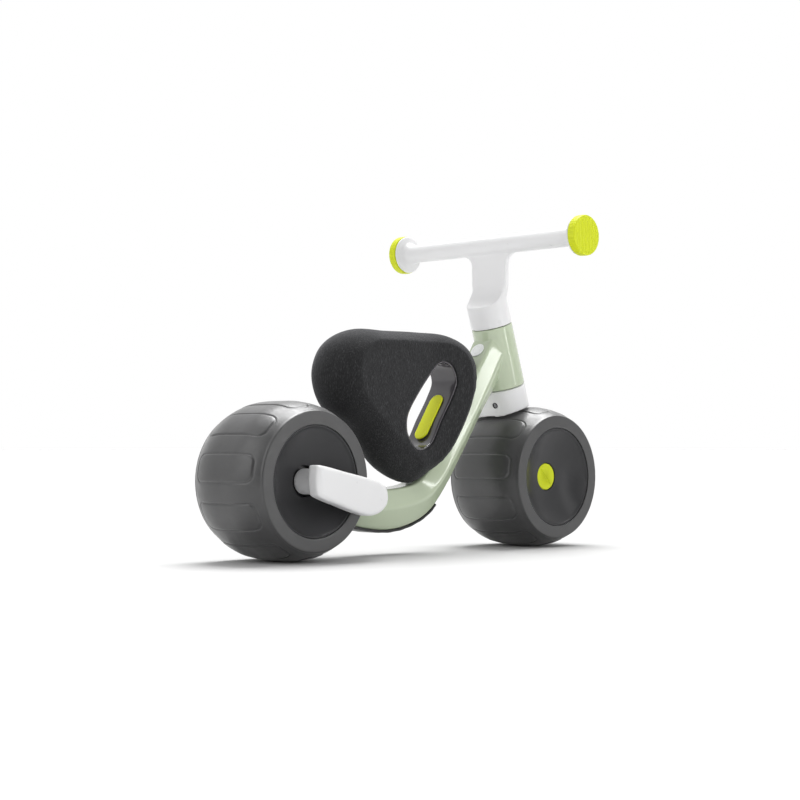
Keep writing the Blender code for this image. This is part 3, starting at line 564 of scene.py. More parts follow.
def tyre(name, hub, pad_angle, columns=720):
    """The foam tyre: a crowned tread with grooved pads between plain side walls."""
    inner = [(TYRE_BORE, 0.050, 0.0), (TYRE_BORE, TYRE_HALF_WIDTH, 0.0009)]
    wall = [(WALL_START + WALL_STEP * i, TYRE_HALF_WIDTH, 0.0) for i in range(WALL_ROWS)]
    half = inner + wall
    edge = (SHOULDER_RADIUS, TYRE_HALF_WIDTH, SHOULDER_ROUNDING)
    tread = [(tread_radius(y), y, 0.0) for y in np.linspace(TREAD_EDGE, -TREAD_EDGE, TREAD_ROWS)]
    corners = half + [edge] + tread + [(edge[0], -edge[1], edge[2])]
    corners += [(r, -y, reach) for r, y, reach in reversed(half)]
    profile = np.array(fillets(corners, 4))

    angle = 2 * math.pi * np.arange(columns) / columns
    radius = np.repeat(profile[:, :1], columns, 1)
    offset = np.repeat(profile[:, 1:], columns, 1)
    sector = 2 * math.pi / PAD_COUNT
    local = (angle - pad_angle + sector / 2) % sector - sector / 2
    on_tread = radius > SHOULDER_TOP
    radius = radius + np.where(on_tread, pad_relief(local * WHEEL_RADIUS, offset), 0.0)

    points = np.stack([hub.x + radius * np.cos(angle), hub.y + offset,
                       hub.z + radius * np.sin(angle)], -1)
    obj = skin(name, points, loop=True)
    centre = np.zeros(len(obj.data.polygons) * 3)
    obj.data.polygons.foreach_get("center", centre)
    centre = centre.reshape(-1, 3) - np.array(hub)
    # The side walls take the second material.
    on_wall = np.hypot(centre[:, 0], centre[:, 2]) < WALL_END
    obj.data.polygons.foreach_set("material_index", on_wall.astype(np.int32))
    return obj


BOWL_EDGE, BOWL_REACH, BOWL_EXPONENT = 0.0545, 0.0566, 2.3
DISH_BACK, DISH_BORE_END, LIP_RISE = 0.0384, 0.0306, 0.0004


def dish_height(radius):
    rise = DISH_TOP - LIP_RISE - DISH_FLOOR
    return DISH_FLOOR + rise * (radius / BOWL_REACH) ** BOWL_EXPONENT


def dish(name, hub, direction):
    """A wheel's side cover: a smooth bowl with a rolled lip and a turned-in hole."""
    rim = TYRE_BORE - GAP
    bowl = [DISH_HOLE + (BOWL_EDGE - DISH_HOLE) * i / 24 for i in range(25)]
    corners = [(rim, DISH_TOP, 0.0010), (rim, DISH_BACK, 0.0), (rim - DISH_SHELL, DISH_BACK, 0.0)]
    corners += [(r, dish_height(r) - DISH_SHELL, 0.0) for r in bowl[22:2:-2]]
    corners += [(DISH_HOLE + DISH_SHELL, DISH_BORE_END, 0.0), (DISH_HOLE, DISH_BORE_END, 0.0)]
    corners += [(bowl[0], dish_height(bowl[0]), 0.0008)]
    corners += [(r, dish_height(r), 0.0) for r in bowl[1:]]
    corners += [(rim - 0.0016, DISH_TOP, 0.0006)]
    return revolve(name, fillets(corners, 4), hub, direction, 160, sharp=50)


CAP_TOP, CAP_FLANGE, CAP_WEB, CAP_END, CAP_SOCKET_BORE = 0.0343, 0.0030, 0.0022, 0.0284, 0.0096
COIN_SLOT_HALF_LENGTH, COIN_SLOT_HALF_WIDTH = 0.0118, 0.00055


def axle_cap(name, hub, direction):
    """A press-in cap with a coin slot across it."""
    flange, web = CAP_TOP - CAP_FLANGE, CAP_TOP - CAP_WEB
    corners = [(0.0, CAP_TOP, 0.0), (CAP_RADIUS, CAP_TOP, 0.0009), (CAP_RADIUS, flange, 0.0),
               (CAP_SOCKET_RADIUS, flange, 0.0), (CAP_SOCKET_RADIUS, CAP_END, 0.0),
               (CAP_SOCKET_BORE, CAP_END, 0.0), (CAP_SOCKET_BORE, web, 0.0), (0.0, web, 0.0)]
    cap = revolve(name, fillets(corners, 4, closed=False), hub, direction, 96, loop=False,
                  sharp=40)
    first, second = axes_about(direction)
    along = (first - second).normalized()
    across = along.cross(direction)
    # The slot is 0.6 mm deep.
    rings = [oval(hub + direction * (CAP_TOP + height), along, across, COIN_SLOT_HALF_LENGTH,
                  COIN_SLOT_HALF_WIDTH, 8.0, 32) for height in (-0.0006, 0.0016)]
    cut_away(cap, skin(name + "_slot", rings))
    return cap


def wheel(prefix, hub, cap_side, pad_angle):
    outward = LEFT * cap_side
    foam = tyre(prefix + "_foam_tyre", hub, pad_angle)
    stands_for(foam, prefix + "_tyre", TREAD, SIDEWALL)
    for label, direction in (("outer", outward), ("inner", -outward)):
        cover = dish(f"{prefix}_side_cover_{label}", hub, direction)
        stands_for(cover, f"{prefix}_dish_{label}", DISH)
    stands_for(axle_cap(prefix + "_coin_cap", hub, outward), prefix + "_axle_cap", LIME)


# ---- side arms ----
def blade(name, path, across, exponent=2.7):
    """Loft ovals along (point, half-height, half-thickness) stations."""
    rings = []
    for i, (point, half_height, half_thickness) in enumerate(path):
        travel = path[min(i + 1, len(path) - 1)][0] - path[max(i - 1, 0)][0]
        thick = travel.normalized().cross(across).normalized()
        rings.append(oval(point, thick, across, half_thickness, half_height, exponent))
    return skin(name, rings)


def round_start(point, direction, radius, thickness, steps=24):
    """Stations that round off a blade's end about the hub."""
    stations = []
    for i in range(steps):
        angle = math.radians(2 + 86 * i / (steps - 1))     # from 2 to 88 degrees
        stations.append((point - direction * radius * math.cos(angle), radius * math.sin(angle),
                         thickness * math.sin(angle) ** 0.5))
    return stations


def hub_stub(hub, side):
    """The stub that carries a wheel on one side, and the cutter for its axle."""
    out = LEFT * side
    stub = rod("stub", hub + out * STUB_END, hub + out * ARM_Y, STUB_RADIUS)
    bore = rod("axle_bore", hub + out * (STUB_END - AXLE_RECESS),
               hub + out * (ARM_Y + AXLE_OVERRUN), AXLE_RADIUS + GAP)
    return stub, bore


ARM_OUTLINE = [
    (-0.2060, 0.0995), (-0.1700, 0.0922), (-0.1350, 0.0850), (-0.1205, 0.0797), (-0.1118, 0.0705),
    (-0.1118, 0.0600), (-0.1200, 0.0510), (-0.1340, 0.0469), (-0.1500, 0.0494), (-0.1750, 0.0570),
    (-0.2050, 0.0670), (-0.2095, 0.0720), (-0.2110, 0.0835), (-0.2100, 0.0945),
]
# Along the neck: x, y, z, half-height and half-thickness.
ARM_NECK = [
    (-0.1340, -0.0660, 0.0673, 0.0120, 0.0060), (-0.1190, -0.0630, 0.0665, 0.0120, 0.0075),
    (-0.1060, -0.0545, 0.0655, 0.0125, 0.0092), (-0.0985, -0.0440, 0.0645, 0.0140, 0.0095),
    (-0.0950, -0.0340, 0.0635, 0.0150, 0.0100), (-0.0945, -0.0255, 0.0630, 0.0150, 0.0100),
]
ARM_EDGE, ARM_ROUNDER_X, ARM_ROUNDER_REACH = 0.0040, -0.1900, 0.014
ARM_SCREW_X, ARM_SCREW_Z, ARM_SCREW_SEAT_Y = -0.0945, (0.0690, 0.0530), 0.0120
ARM_SCREW_LENGTH, ARM_HOLE_START, ARM_HOLE_END = 0.0475, -0.0200, -0.0365


def arm_plate(steps=8):
    """The arm's outline stacked across its thickness, with rounded edges."""
    outline = spline(ARM_OUTLINE, 10, closed=True)
    normals = inward_normals(outline)
    rings = []
    for face in (-1, 1):
        for step in range(steps + 1):
            turn = math.pi / 2 * (step if face < 0 else steps - step) / steps
            y = -ARM_Y + face * (ARM_HALF_THICKNESS - ARM_EDGE * (1 - math.cos(turn)))
            inset = ARM_EDGE * (1 - math.sin(turn))
            ring = []
            for (x, z), n in zip(outline, normals):
                # The hub's end is rounder than the rest.
                rounder = min(max((ARM_ROUNDER_X - x) / ARM_ROUNDER_REACH, 0.0), 1.0)
                reach = inset * (1 + rounder)
                ring.append(Vector((x + n.x * reach, y, z + n.y * reach)))
            rings.append(ring)
    return skin("arm_plate", rings)


def rear_arm():
    neck = blade("arm_neck", [(Vector((x, y, z)), height, thick)
                              for x, y, z, height, thick in spline(ARM_NECK, 8)], UP)
    stub, bore = hub_stub(REAR_HUB, -1)
    holes = [rod("arm_hole", (ARM_SCREW_X, ARM_HOLE_START, z), (ARM_SCREW_X, ARM_HOLE_END, z),
                 SCREW_HOLE_RADIUS) for z in ARM_SCREW_Z]
    arm = moulded("rear_arm_moulding", [arm_plate(), neck, stub], [bore, *holes],
                  voxel=0.0008, relax=10)
    stands_for(arm, "rear_arm", WHITE)


# ---- frame ----
# Along the frame: its top edge and its bottom edge as (x, z), the half-widths at the top, the
# crease and the bottom, and how far down the crease lies.
FRAME_STATIONS = [
    ((-0.1060, 0.0780), (-0.1110, 0.0365), 0.0150, 0.0225, 0.0120, 0.45),
    ((-0.0850, 0.0735), (-0.0860, 0.0305), 0.0150, 0.0240, 0.0140, 0.46),
    ((-0.0580, 0.0715), (-0.0520, 0.0275), 0.0145, 0.0240, 0.0150, 0.45),
    ((-0.0280, 0.0735), (-0.0180, 0.0325), 0.0140, 0.0235, 0.0150, 0.44),
    ((-0.0030, 0.0785), (0.0140, 0.0460), 0.0130, 0.0220, 0.0140, 0.46),
    ((0.0160, 0.0930), (0.0400, 0.0710), 0.0130, 0.0205, 0.0130, 0.55),
    ((0.0330, 0.1180), (0.0640, 0.1010), 0.0130, 0.0195, 0.0120, 0.62),
    ((0.0510, 0.1450), (0.0850, 0.1300), 0.0130, 0.0195, 0.0120, 0.66),
    ((0.0720, 0.1750), (0.1060, 0.1600), 0.0132, 0.0200, 0.0120, 0.64),
    ((0.0950, 0.2080), (0.1290, 0.1900), 0.0136, 0.0205, 0.0120, 0.60),
    ((0.1130, 0.2332), (0.1480, 0.2230), 0.0140, 0.0205, 0.0120, 0.60),
    ((0.1185, 0.2408), (0.1520, 0.2395), 0.0140, 0.0205, 0.0120, 0.60),
    ((0.1230, 0.2450), (0.1520, 0.2440), 0.0105, 0.0165, 0.0100, 0.60),
]
SMOOTH_STATIONS = spline([(*top, *bottom, *rest) for top, bottom, *rest in FRAME_STATIONS], 8)
# Label, the head's seat, the direction out of the saddle, and the length under the head.
SEAT_SCREWS = (
    ("lower", Vector((0.0100, 0.0, 0.0537)), Vector((0.463, 0.0, -0.886)), 0.0420),
    ("front", Vector((0.0695, 0.0, 0.1188)), Vector((0.835, 0.0, -0.550)), 0.0450),
)


def frame_ring(station, grow=0.0):
    """A six-sided section with rounded corners between the frame's two edges."""
    top_x, top_z, bottom_x, bottom_z, top_half, crease_half, bottom_half, crease_depth = station
    top = Vector((top_x, 0.0, top_z))
    down = Vector((bottom_x, 0.0, bottom_z)) - top
    top -= down.normalized() * grow
    down += down.normalized() * 2 * grow
    top_half, crease_half, bottom_half = (
        width + grow for width in (top_half, crease_half, bottom_half))
    corners = [(0.0, 0.0), (0.0, top_half), (crease_depth, crease_half), (1.0, bottom_half),
               (1.0, 0.0)]
    half = [corners[0]]
    # Each corner's rounding takes this share of the sides that meet there.
    for index, soft in ((1, 0.15), (2, 0.14), (3, 0.18)):
        here = Vector(corners[index])
        start = here + (Vector(corners[index - 1]) - here) * soft
        end = here + (Vector(corners[index + 1]) - here) * soft
        for step in range(7):
            t = step / 6
            half.append(tuple(start * (1 - t) ** 2 + here * 2 * t * (1 - t) + end * t * t))
    half.append(corners[-1])
    full = half + [(depth, -width) for depth, width in reversed(half[1:-1])]
    return [top + down * depth + LEFT * width for depth, width in full]


def frame_moulding():
    loft = skin("frame_loft", [frame_ring(station) for station in SMOOTH_STATIONS])
    head = rod("head_tube", steer_point(HEAD_LOW + GAP), steer_point(HEAD_HIGH - GAP),
               HEAD_RADIUS, 128)
    cutters = [rod("head_bore", steer_point(HEAD_LOW - 0.02), steer_point(HEAD_HIGH + 0.02),
                   BUSH_RADIUS + GAP)]
    for z in ARM_SCREW_Z:
        cutters.append(rod("hole", (ARM_SCREW_X, 0.02, z), (ARM_SCREW_X, -0.03, z),
                           SCREW_HOLE_RADIUS))
        cutters.append(rod("recess", (ARM_SCREW_X, 0.03, z), (ARM_SCREW_X, ARM_SCREW_SEAT_Y, z),
                           ARM_SCREW_HEAD_RADIUS + GAP))
    for _, point, direction, length in SEAT_SCREWS:
        cutters.append(rod("hole", point + direction * 0.002, point - direction * length,
                           SCREW_HOLE_RADIUS))
        cutters.append(rod("recess", point, point + direction * 0.03,
                           SEAT_SCREW_HEAD_RADIUS + GAP))
    body = moulded("frame_moulding", [loft, head], cutters, voxel=0.0008, relax=4)
    stands_for(body, "frame", SAGE)


SKID_STATIONS, SKID_WIDTH_SHARE = 37, 0.98
SKID_INNER, SKID_RIB, SKID_VALLEY = 0.0004, 0.0032, 0.0029     # distances from the frame


def skid_strip():
    """The black strip under the frame, with slightly raised cross ribs."""
    rings = []
    stations = SMOOTH_STATIONS[:SKID_STATIONS]
    for i, (station, following) in enumerate(zip(stations, stations[1:])):
        bottom = Vector((station[2], 0.0, station[3]))
        travel = Vector((following[2], 0.0, following[3])) - bottom
        out = Vector((travel.z, 0.0, -travel.x)).normalized()
        half = station[6] * SKID_WIDTH_SHARE
        far = SKID_RIB if i % 4 < 2 else SKID_VALLEY
        side = [(SKID_INNER, half), (far - 0.0006, half), (far, half - 0.0012)]
        section = side + [(far, 0.0)] + [(depth, -width) for depth, width in reversed(side)]
        rings.append([bottom + out * depth + LEFT * width for depth, width in section])
    strip = skin("skid_strip", rings, sharp=40)
    stands_for(strip, "skid_plate", TRIM)


BADGE_STATIONS, BADGE_ALONG = FRAME_STATIONS[9:11], 0.0265


def badge():
    """A plain round badge with a raised rim and one inner ring."""
    low, high = (Vector((x, 0.0, z)) for (x, z), *_ in BADGE_STATIONS)
    along = (high - low).normalized()
    rearward = Vector((-along.z, 0.0, along.x))
    centre = low + along * BADGE_ALONG + rearward * GAP
    corners = [(0.0, 0.0007, 0.0), (0.0040, 0.0007, 0.0002), (0.0044, 0.0010, 0.0002),
               (0.0049, 0.0010, 0.0002), (0.0053, 0.0007, 0.0002), (0.0074, 0.0007, 0.0003),
               (0.0078, 0.0012, 0.0003), (0.0090, 0.0010, 0.0005), (0.0090, 0.0, 0.0),
               (0.0, 0.0, 0.0)]
    disc = revolve("round_badge", fillets(corners, 3, closed=False), centre, rearward, 96,
                   loop=False, sharp=60)
    stands_for(disc, "head_badge", BADGE)


# ---- seat ----
SEAT_FRONT_HALF, SEAT_TAPER_X, SEAT_TAPER, SEAT_TAPER_EASE = 0.0205, 0.0150, 0.132, 0.006
SEAT_MIDDLE = (-0.02, 0.17)
# Around the saddle's side: x, z and the reach of its rounded edge.
SEAT_OUTLINE = [
    (-0.1335, 0.1950, 0.0175), (-0.1225, 0.2280, 0.0175), (-0.0930, 0.2440, 0.0145),
    (-0.0480, 0.2448, 0.0115), (0.0050, 0.2455, 0.0120), (0.0520, 0.2438, 0.0120),
    (0.0885, 0.2290, 0.0185), (0.1045, 0.1950, 0.0240), (0.0890, 0.1550, 0.0175),
    (0.0525, 0.1035, 0.0170), (0.0150, 0.0845, 0.0165), (-0.0150, 0.0780, 0.0270),
    (-0.0565, 0.0955, 0.0320), (-0.0890, 0.1325, 0.0200), (-0.1235, 0.1590, 0.0205),
]
SLOT_OUTLINE = [
    (0.0267, 0.2135), (0.0083, 0.1995), (-0.0139, 0.1780), (-0.0322, 0.1560),
    (-0.0360, 0.1400), (-0.0311, 0.1268), (-0.0130, 0.1133), (0.0113, 0.1207),
    (0.0289, 0.1472), (0.0467, 0.1736), (0.0545, 0.1920), (0.0455, 0.2100),
]
EDGE_TURN = math.radians(56)   # how far the rounded edge turns before it meets the side face
SEAT_FRAME_GAP, INSERT_RADIUS, SCREW_PATH_RADIUS = 0.0006, 0.0060, 0.0032
PILL_ALONG, PILL_OFF_WALL = 0.0345, 0.0028
PILL_HALF_LENGTH, PILL_RADIUS = 0.0300, 0.0093


def seat_half_width(x):
    """Half the saddle's width: narrow in front, and widening behind with a soft start."""
    behind = min((SEAT_TAPER_X - x) / SEAT_TAPER_EASE, 40.0)
    return SEAT_FRONT_HALF + SEAT_TAPER * SEAT_TAPER_EASE * math.log1p(math.exp(behind))


def seat_rings(outline, steps=12):
    """Rings across the saddle from its right face, round its edge, to its left face."""
    normals = inward_normals(outline)
    shrinks = [0.1 + 0.15 * i for i in range(6)]
    rings = [(-1.0, 1.0, shrink) for shrink in shrinks]
    for step in range(-steps, steps + 1):
        angle = EDGE_TURN * step / steps
        rings.append((math.sin(angle) / math.sin(EDGE_TURN),
                      (1 - math.cos(angle)) / (1 - math.cos(EDGE_TURN)), 1.0))
    rings += [(1.0, 1.0, shrink) for shrink in reversed(shrinks)]
    out = []
    for across, reach, shrink in rings:
        ring = []
        for (x, z, edge), normal in zip(outline, normals):
            x, z = x + normal.x * edge * reach, z + normal.y * edge * reach
            x = SEAT_MIDDLE[0] + (x - SEAT_MIDDLE[0]) * shrink
            z = SEAT_MIDDLE[1] + (z - SEAT_MIDDLE[1]) * shrink
            ring.append(Vector((x, across * seat_half_width(x), z)))
        out.append(ring)
    return out


def saddle():
    """The felt-covered foam saddle with its grab slot and its groove for the frame."""
    foam = skin("saddle_foam", seat_rings(spline(SEAT_OUTLINE, 8, closed=True)))
    slot = prism("saddle_slot", spline(SLOT_OUTLINE, 8, closed=True), -0.07, 0.07)
    groove = skin("saddle_groove", [frame_ring(station, SEAT_FRAME_GAP)
                                    for station in SMOOTH_STATIONS])
    cutters = [slot, groove]
    for _, point, direction, length in SEAT_SCREWS:
        tip = point - direction * length
        cutters.append(rod("pocket", tip + direction * 0.0113, tip - direction * 0.0013,
                           INSERT_RADIUS + GAP))
        cutters.append(rod("path", point, tip + direction * 0.009, SCREW_PATH_RADIUS))
    seat = moulded("felt_saddle", [foam], cutters, voxel=0.0012, relax=4)
    stands_for(seat, "seat", FELT)


def slot_liner():
    """The glossy liner of the grab slot, its rounded edges set back in the side faces."""
    outline = spline(SLOT_OUTLINE, 8, closed=True)
    normals = inward_normals(outline)
    # Stations across the slot: distance in from the side face, then depth into the slot of the
    # liner's outer and inner surface.
    lip = [(0.0016, 0.0005), (0.0013, 0.0009), (0.0013, 0.0016), (0.0016, 0.0021),
           (0.0024, 0.0023), (0.0040, 0.0023)]
    inner = [(-1, d, inset) for d, inset in lip] + [(1, d, inset) for d, inset in reversed(lip)]
    outer = [(1, 0.0020, GAP), (-1, 0.0020, GAP)]
    rings = []
    for side, distance, inset in inner + outer:
        rings.append([(x + n.x * inset, side * (seat_half_width(x) - distance), z + n.y * inset)
                      for (x, z), n in zip(outline, normals)])
    liner = skin("slot_liner", rings, loop=True, sharp=60)
    stands_for(liner, "seat_handle_liner", LINER)


def grip_pad():
    """The lime pill on the slot's front wall."""
    low, high = (Vector((x, 0.0, z)) for x, z in (SLOT_OUTLINE[7], SLOT_OUTLINE[9]))
    along = (high - low).normalized()
    inward = Vector((-along.z, 0.0, along.x))
    centre = low + along * PILL_ALONG + inward * PILL_OFF_WALL
    rings = []
    for height, shrink in ((0.0, 0.0), (0.0009, 0.0), (0.0013, 0.0002), (0.0015, 0.0006),
                           (0.0016, 0.0012), (0.0016, 0.0030)):
        ring = []
        radius = PILL_RADIUS - shrink
        for end in (1, -1):
            for i in range(25):
                angle = math.pi * (i / 24 - 0.5)
                reach = PILL_HALF_LENGTH - PILL_RADIUS + radius * math.cos(angle)
                ring.append(centre + inward * height + along * end * reach
                            + LEFT * end * radius * math.sin(angle))
        rings.append(ring)
    pill = skin("grip_pill", rings)
    # The pad takes the brighter lime copy, whose extra brightness is painted light inside the slot.
    stands_for(pill, "seat_handle_pad", PAD_LIME_PAINTED_LIGHT)


# ---- fork ----
# From the hub to the crown: the distance out to the left, the height up the steering axis,
# half-width and half-thickness.
FORK_BLADE = [
    (0.0660, 0.0000, 0.0165, 0.0090), (0.0660, 0.0270, 0.0178, 0.0090),
    (0.0660, 0.0540, 0.0190, 0.0090), (0.0645, 0.0715, 0.0197, 0.0093),
    (0.0560, 0.0855, 0.0205, 0.0115), (0.0400, 0.0885, 0.0218, 0.0190),
    (0.0200, 0.0885, 0.0234, 0.0220), (0.0000, 0.0885, 0.0234, 0.0220),
]
FORK_EXPONENT = 4.0
CROWN_CLEARANCE, CROWN_LOW = 0.0025, 0.070
SET_SCREW_FLOOR, SET_SCREW_RING_FLOOR = 0.0190, 0.0220     # distances from the steering axis


def set_screw_cutters(along, side):
    out = STEER_FORWARD * side
    point = steer_point(along)
    return [rod("recess", point + out * SET_SCREW_RING_FLOOR, point + out * 0.030,
                SET_SCREW_RING + GAP),
            rod("hole", point + out * SET_SCREW_FLOOR, point + out * 0.0225,
                SET_SCREW_HEAD + GAP),
            rod("shank", point + out * 0.0100, point + out * 0.0192, SET_SCREW_SHANK + GAP)]


def fork():
    """The one-sided fork: crown over the tyre, blade down its left side and the hub stub."""
    path = [(steer_point(along, side=side), width, thickness)
            for side, along, width, thickness in spline(FORK_BLADE, 8)]
    start = round_start(path[0][0], STEER_AXIS, ARM_HUB_RADIUS, ARM_HALF_THICKNESS)
    leg = blade("fork_leg", start + path, STEER_FORWARD, FORK_EXPONENT)
    crown = rod("fork_crown", steer_point(CROWN_LOW), steer_point(HEAD_LOW - GAP), HEAD_RADIUS,
                128)
    stub, bore = hub_stub(FRONT_HUB, 1)
    reach = TYRE_HALF_WIDTH + CROWN_CLEARANCE
    tread = [(tread_radius(y) + CROWN_CLEARANCE, y)
             for y in np.linspace(TYRE_HALF_WIDTH, -TYRE_HALF_WIDTH, 41)]
    hollow = 0.050
    envelope = [(hollow, reach), (TYRE_EDGE_RADIUS, reach)] + tread
    envelope += [(TYRE_EDGE_RADIUS, -reach), (hollow, -reach)]
    tyre_room = revolve("tyre_room", envelope, FRONT_HUB, LEFT, 128)
    cutters = [tyre_room, bore,
               rod("steerer_bore", steer_point(STEERER_LOW - GAP), steer_point(0.13),
                   STEERER_RADIUS + GAP)]
    cutters += set_screw_cutters(*CROWN_SCREW)
    body = moulded("fork_moulding", [leg, crown, stub], cutters, voxel=0.0009, relax=8)
    stands_for(body, "fork", WHITE)


# ---- handlebar ----
POST_REAR_BULGE, FILLET_SHARE, FILLET_THINNING = 0.0026, 0.995, 0.0045
# Up the post to the bar: height, half-width and depth to the front.
POST_SECTIONS = [
    (0.2760, 0.0195, 0.0125), (0.2900, 0.0228, 0.0150), (0.3040, 0.0256, POST_DEPTH),
    (0.3180, POST_HALF_WIDTH, POST_DEPTH),
]
COLLAR_TOP, SCOOP_TOP, SCOOP_BACK, SCOOP_HALF_WIDTH = 0.2450, 0.3300, 0.060, 0.035


def post_ring(z, half_width, front, count=96):
    """A D-shaped section of the post, flat at the rear and bulging forward."""
    ring = []
    for i in range(count):
        angle = 2 * math.pi * i / count
        c, s = math.cos(angle), math.sin(angle)
        exponent, reach = (2.0, front) if c > 0 else (5.0, POST_REAR_BULGE)
        x = math.copysign(abs(c) ** (2 / exponent), c) * reach
        y = math.copysign(abs(s) ** (2 / exponent), s) * half_width
        ring.append(Vector((POST_REAR_X + POST_REAR_BULGE + x, y, z)))
    return ring


def handlebar():
    """Bar, post and collar in one white moulding, with a scooped rear face."""
    face = BAR_HALF_LENGTH - GRIP_THICKNESS - GAP
    back = face - 0.0026
    end = [(0.0222, face, 0.0006), (0.0222, back + 0.0004, 0.0010), (0.0150, back - 0.0018, 0.0),
           (0.0120, back - 0.0052, 0.003), (BAR_RADIUS, back - 0.0140, 0.004)]
    corners = [(0.0, face, 0.0)] + end + [(r, -h, reach) for r, h, reach in reversed(end)]
    corners += [(0.0, -face, 0.0)]
    bar = revolve("bar", fillets(corners, 5, closed=False), BAR_CENTRE, LEFT, 96, loop=False)

    sections = spline(POST_SECTIONS, 6)
    fillet_start = BAR_CENTRE.z - BAR_RADIUS - POST_FILLET
    for i in range(16):
        share = math.sin(math.pi / 2 * i / 15) * FILLET_SHARE
        flare = POST_FILLET * (1 - math.sqrt(1 - share ** 2))
        sections.append((fillet_start + POST_FILLET * share, POST_HALF_WIDTH + flare,
                         POST_DEPTH - FILLET_THINNING * share ** 2))
    sections.append((BAR_CENTRE.z, 0.0400, 0.0100))
    post = skin("post", [post_ring(*section) for section in sections])
    collar = rod("collar", steer_point(HEAD_HIGH + GAP), steer_point(COLLAR_TOP), HEAD_RADIUS,
                 128)

    centre_x = POST_REAR_X - SCOOP_RADIUS
    arc = [(centre_x + SCOOP_RADIUS * math.cos(math.radians(a)),
            SCOOP_Z + SCOOP_RADIUS * math.sin(math.radians(a))) for a in range(-90, 1, 3)]
    outline = [(SCOOP_BACK, arc[0][1])] + arc + [(POST_REAR_X, SCOOP_TOP), (SCOOP_BACK, SCOOP_TOP)]
    cutters = [prism("scoop", outline, -SCOOP_HALF_WIDTH, SCOOP_HALF_WIDTH),
               rod("bar_bore", BAR_CENTRE - LEFT * 0.15, BAR_CENTRE + LEFT * 0.15,
                   BAR_BORE_RADIUS),
               rod("stem_bore", steer_point(HEAD_HIGH - 0.01), steer_point(STEERER_HIGH + GAP),
                   STEERER_RADIUS + GAP)]
    cutters += set_screw_cutters(*STEM_SCREW)
    body = moulded("handlebar_moulding", [bar, post, collar], cutters, voxel=0.0007, relax=12)
    stands_for(body, "handlebar", WHITE)


RIB_PITCH, RIB_HEIGHT = 0.0058, 0.0009
RIB_END, RIB_FADE = 0.0210, 0.0010
KNURL_COUNT, KNURL_DEPTH, KNURL_START = 36, 0.0002, 0.0215
SPIGOT_RADIUS, SPIGOT_DEPTH = 0.0078, 0.0076


def grip_cap(label, side, columns=288):
    """A lime end cap: ribs across its face and a finely scalloped rim."""
    direction = LEFT * side
    centre = BAR_CENTRE + direction * (BAR_HALF_LENGTH - GRIP_THICKNESS)
    face = [(0.0006 * i, GRIP_THICKNESS, 0.0) for i in range(34)]
    corners = face + [(GRIP_RADIUS, GRIP_THICKNESS, 0.0024), (GRIP_RADIUS, 0.0, 0.0012),
                      (SPIGOT_RADIUS, 0.0, 0.0), (SPIGOT_RADIUS, -SPIGOT_DEPTH, 0.0),
                      (0.0, -SPIGOT_DEPTH, 0.0)]
    first, second = axes_about(direction)
    rings = []
    for radius, height in fillets(corners, 5, closed=False):
        ring = []
        for i in range(columns):
            angle = 2 * math.pi * i / columns
            scallop = KNURL_DEPTH * 0.5 * (1 - math.cos(KNURL_COUNT * angle))
            r = radius - scallop * max(0.0, (radius - KNURL_START) / (GRIP_RADIUS - KNURL_START))
            x, y = r * math.cos(angle), r * math.sin(angle)
            rib = 0.0
            if height > GRIP_THICKNESS * 0.9 and radius < RIB_END:
                rib = RIB_HEIGHT * 0.5 * (math.cos(2 * math.pi * x / RIB_PITCH) - 1)
                rib *= min(1.0, (RIB_END - radius) / RIB_FADE)
            ring.append(centre + first * x + second * y + direction * (height + rib))
        rings.append(ring)
    cap = skin(f"{label}_end_cap", rings, sharp=60)
    stands_for(cap, f"grip_cap_{label}", LIME)


# ---- screws ----
KEY_FLOOR, KEY_TOP, KEY_RADIUS = 0.4, 1.5, 0.56     # shares of the head's height and radius


def socket_screw(name, node, point, out, length, head_radius, head_height, shank_radius):
    """A cap screw with a hexagonal socket."""
    corners = [(0.0, head_height, 0.0), (head_radius, head_height, head_height * 0.15),
               (head_radius, 0.0, 0.0), (shank_radius, 0.0, 0.0), (shank_radius, -length, 0.0003),
               (0.0, -length, 0.0)]
    screw = revolve(name, fillets(corners, 4, closed=False), point, out, 64, loop=False, sharp=35)
    key = rod("key", point + out * head_height * KEY_FLOOR, point + out * head_height * KEY_TOP,
              head_radius * KEY_RADIUS, 6)
    cut_away(screw, key)
    stands_for(screw, node, STEEL)


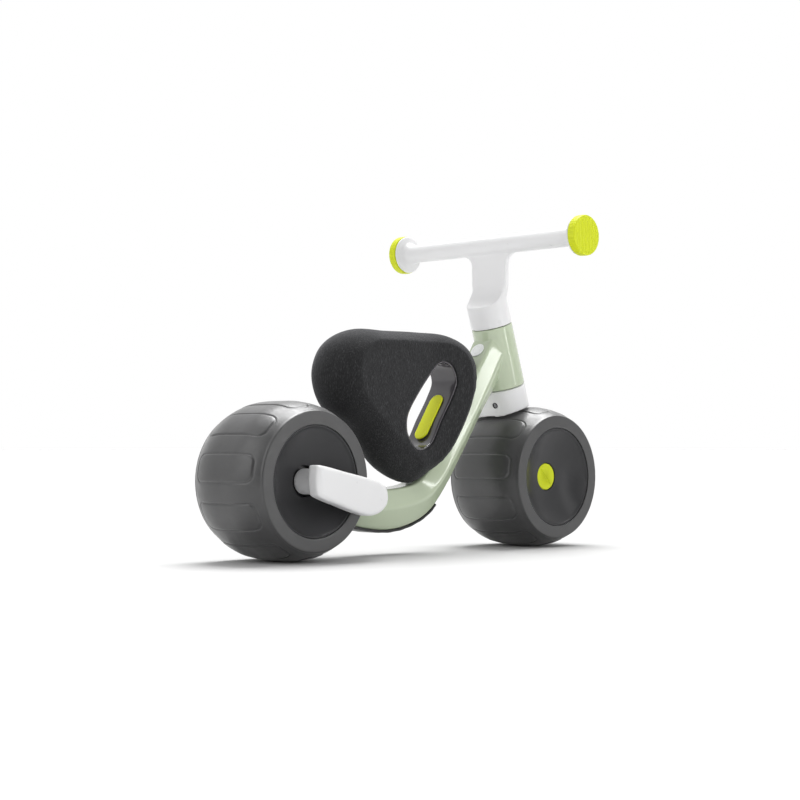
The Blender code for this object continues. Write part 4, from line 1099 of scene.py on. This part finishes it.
def screws():
    for number, z in enumerate(ARM_SCREW_Z):
        socket_screw(f"arm_bolt_{number + 1}", f"rear_arm_screw_{number + 1}",
                     Vector((ARM_SCREW_X, ARM_SCREW_SEAT_Y + GAP, z)), LEFT, ARM_SCREW_LENGTH,
                     ARM_SCREW_HEAD_RADIUS, SCREW_HEAD_HEIGHT, SCREW_SHANK_RADIUS)
    for label, point, direction, length in SEAT_SCREWS:
        out = direction.normalized()
        socket_screw(f"saddle_bolt_{label}", f"seat_screw_{label}", point + out * GAP, out,
                     length, SEAT_SCREW_HEAD_RADIUS, SCREW_HEAD_HEIGHT, SCREW_SHANK_RADIUS)
    for label, (along, side) in (("crown", CROWN_SCREW), ("stem", STEM_SCREW)):
        out = STEER_FORWARD * side
        point = steer_point(along)
        socket_screw(f"{label}_bolt", f"{label}_screw", point + out * (SET_SCREW_FLOOR + GAP),
                     out, SET_SCREW_LENGTH, SET_SCREW_HEAD, SET_SCREW_HEAD_HEIGHT,
                     SET_SCREW_SHANK)
        inner, low = SET_SCREW_HEAD + GAP, SET_SCREW_RING_FLOOR + GAP
        high = low + SET_SCREW_RING_HEIGHT
        ring = [(inner, low, 0.0), (SET_SCREW_RING, low, 0.0),
                (SET_SCREW_RING, high, 0.0004), (inner, high, 0.0004)]
        collar = revolve(f"{label}_bolt_ring", fillets(ring, 3), point, out, 64, sharp=60)
        stands_for(collar, f"{label}_screw_ring", LINER)


# ---- build ----
add_camera()
add_studio()
wheel("front", FRONT_HUB, -1, FRONT_PAD_ANGLE)
wheel("rear", REAR_HUB, 1, REAR_PAD_ANGLE)
rear_arm()
frame_moulding()
skid_strip()
badge()
saddle()
slot_liner()
grip_pad()
fork()
handlebar()
grip_cap("left", 1)
grip_cap("right", -1)
screws()

# The pieces inside keep their CAD shapes and take the finish of their slot.
for node, obj in frame["nodes"].items():
    if not obj.hide_render:
        obj.data.materials.clear()
        obj.data.materials.append(SLOT_MATERIALS[SLOT_OF[node]])

bpy.context.view_layer.update()
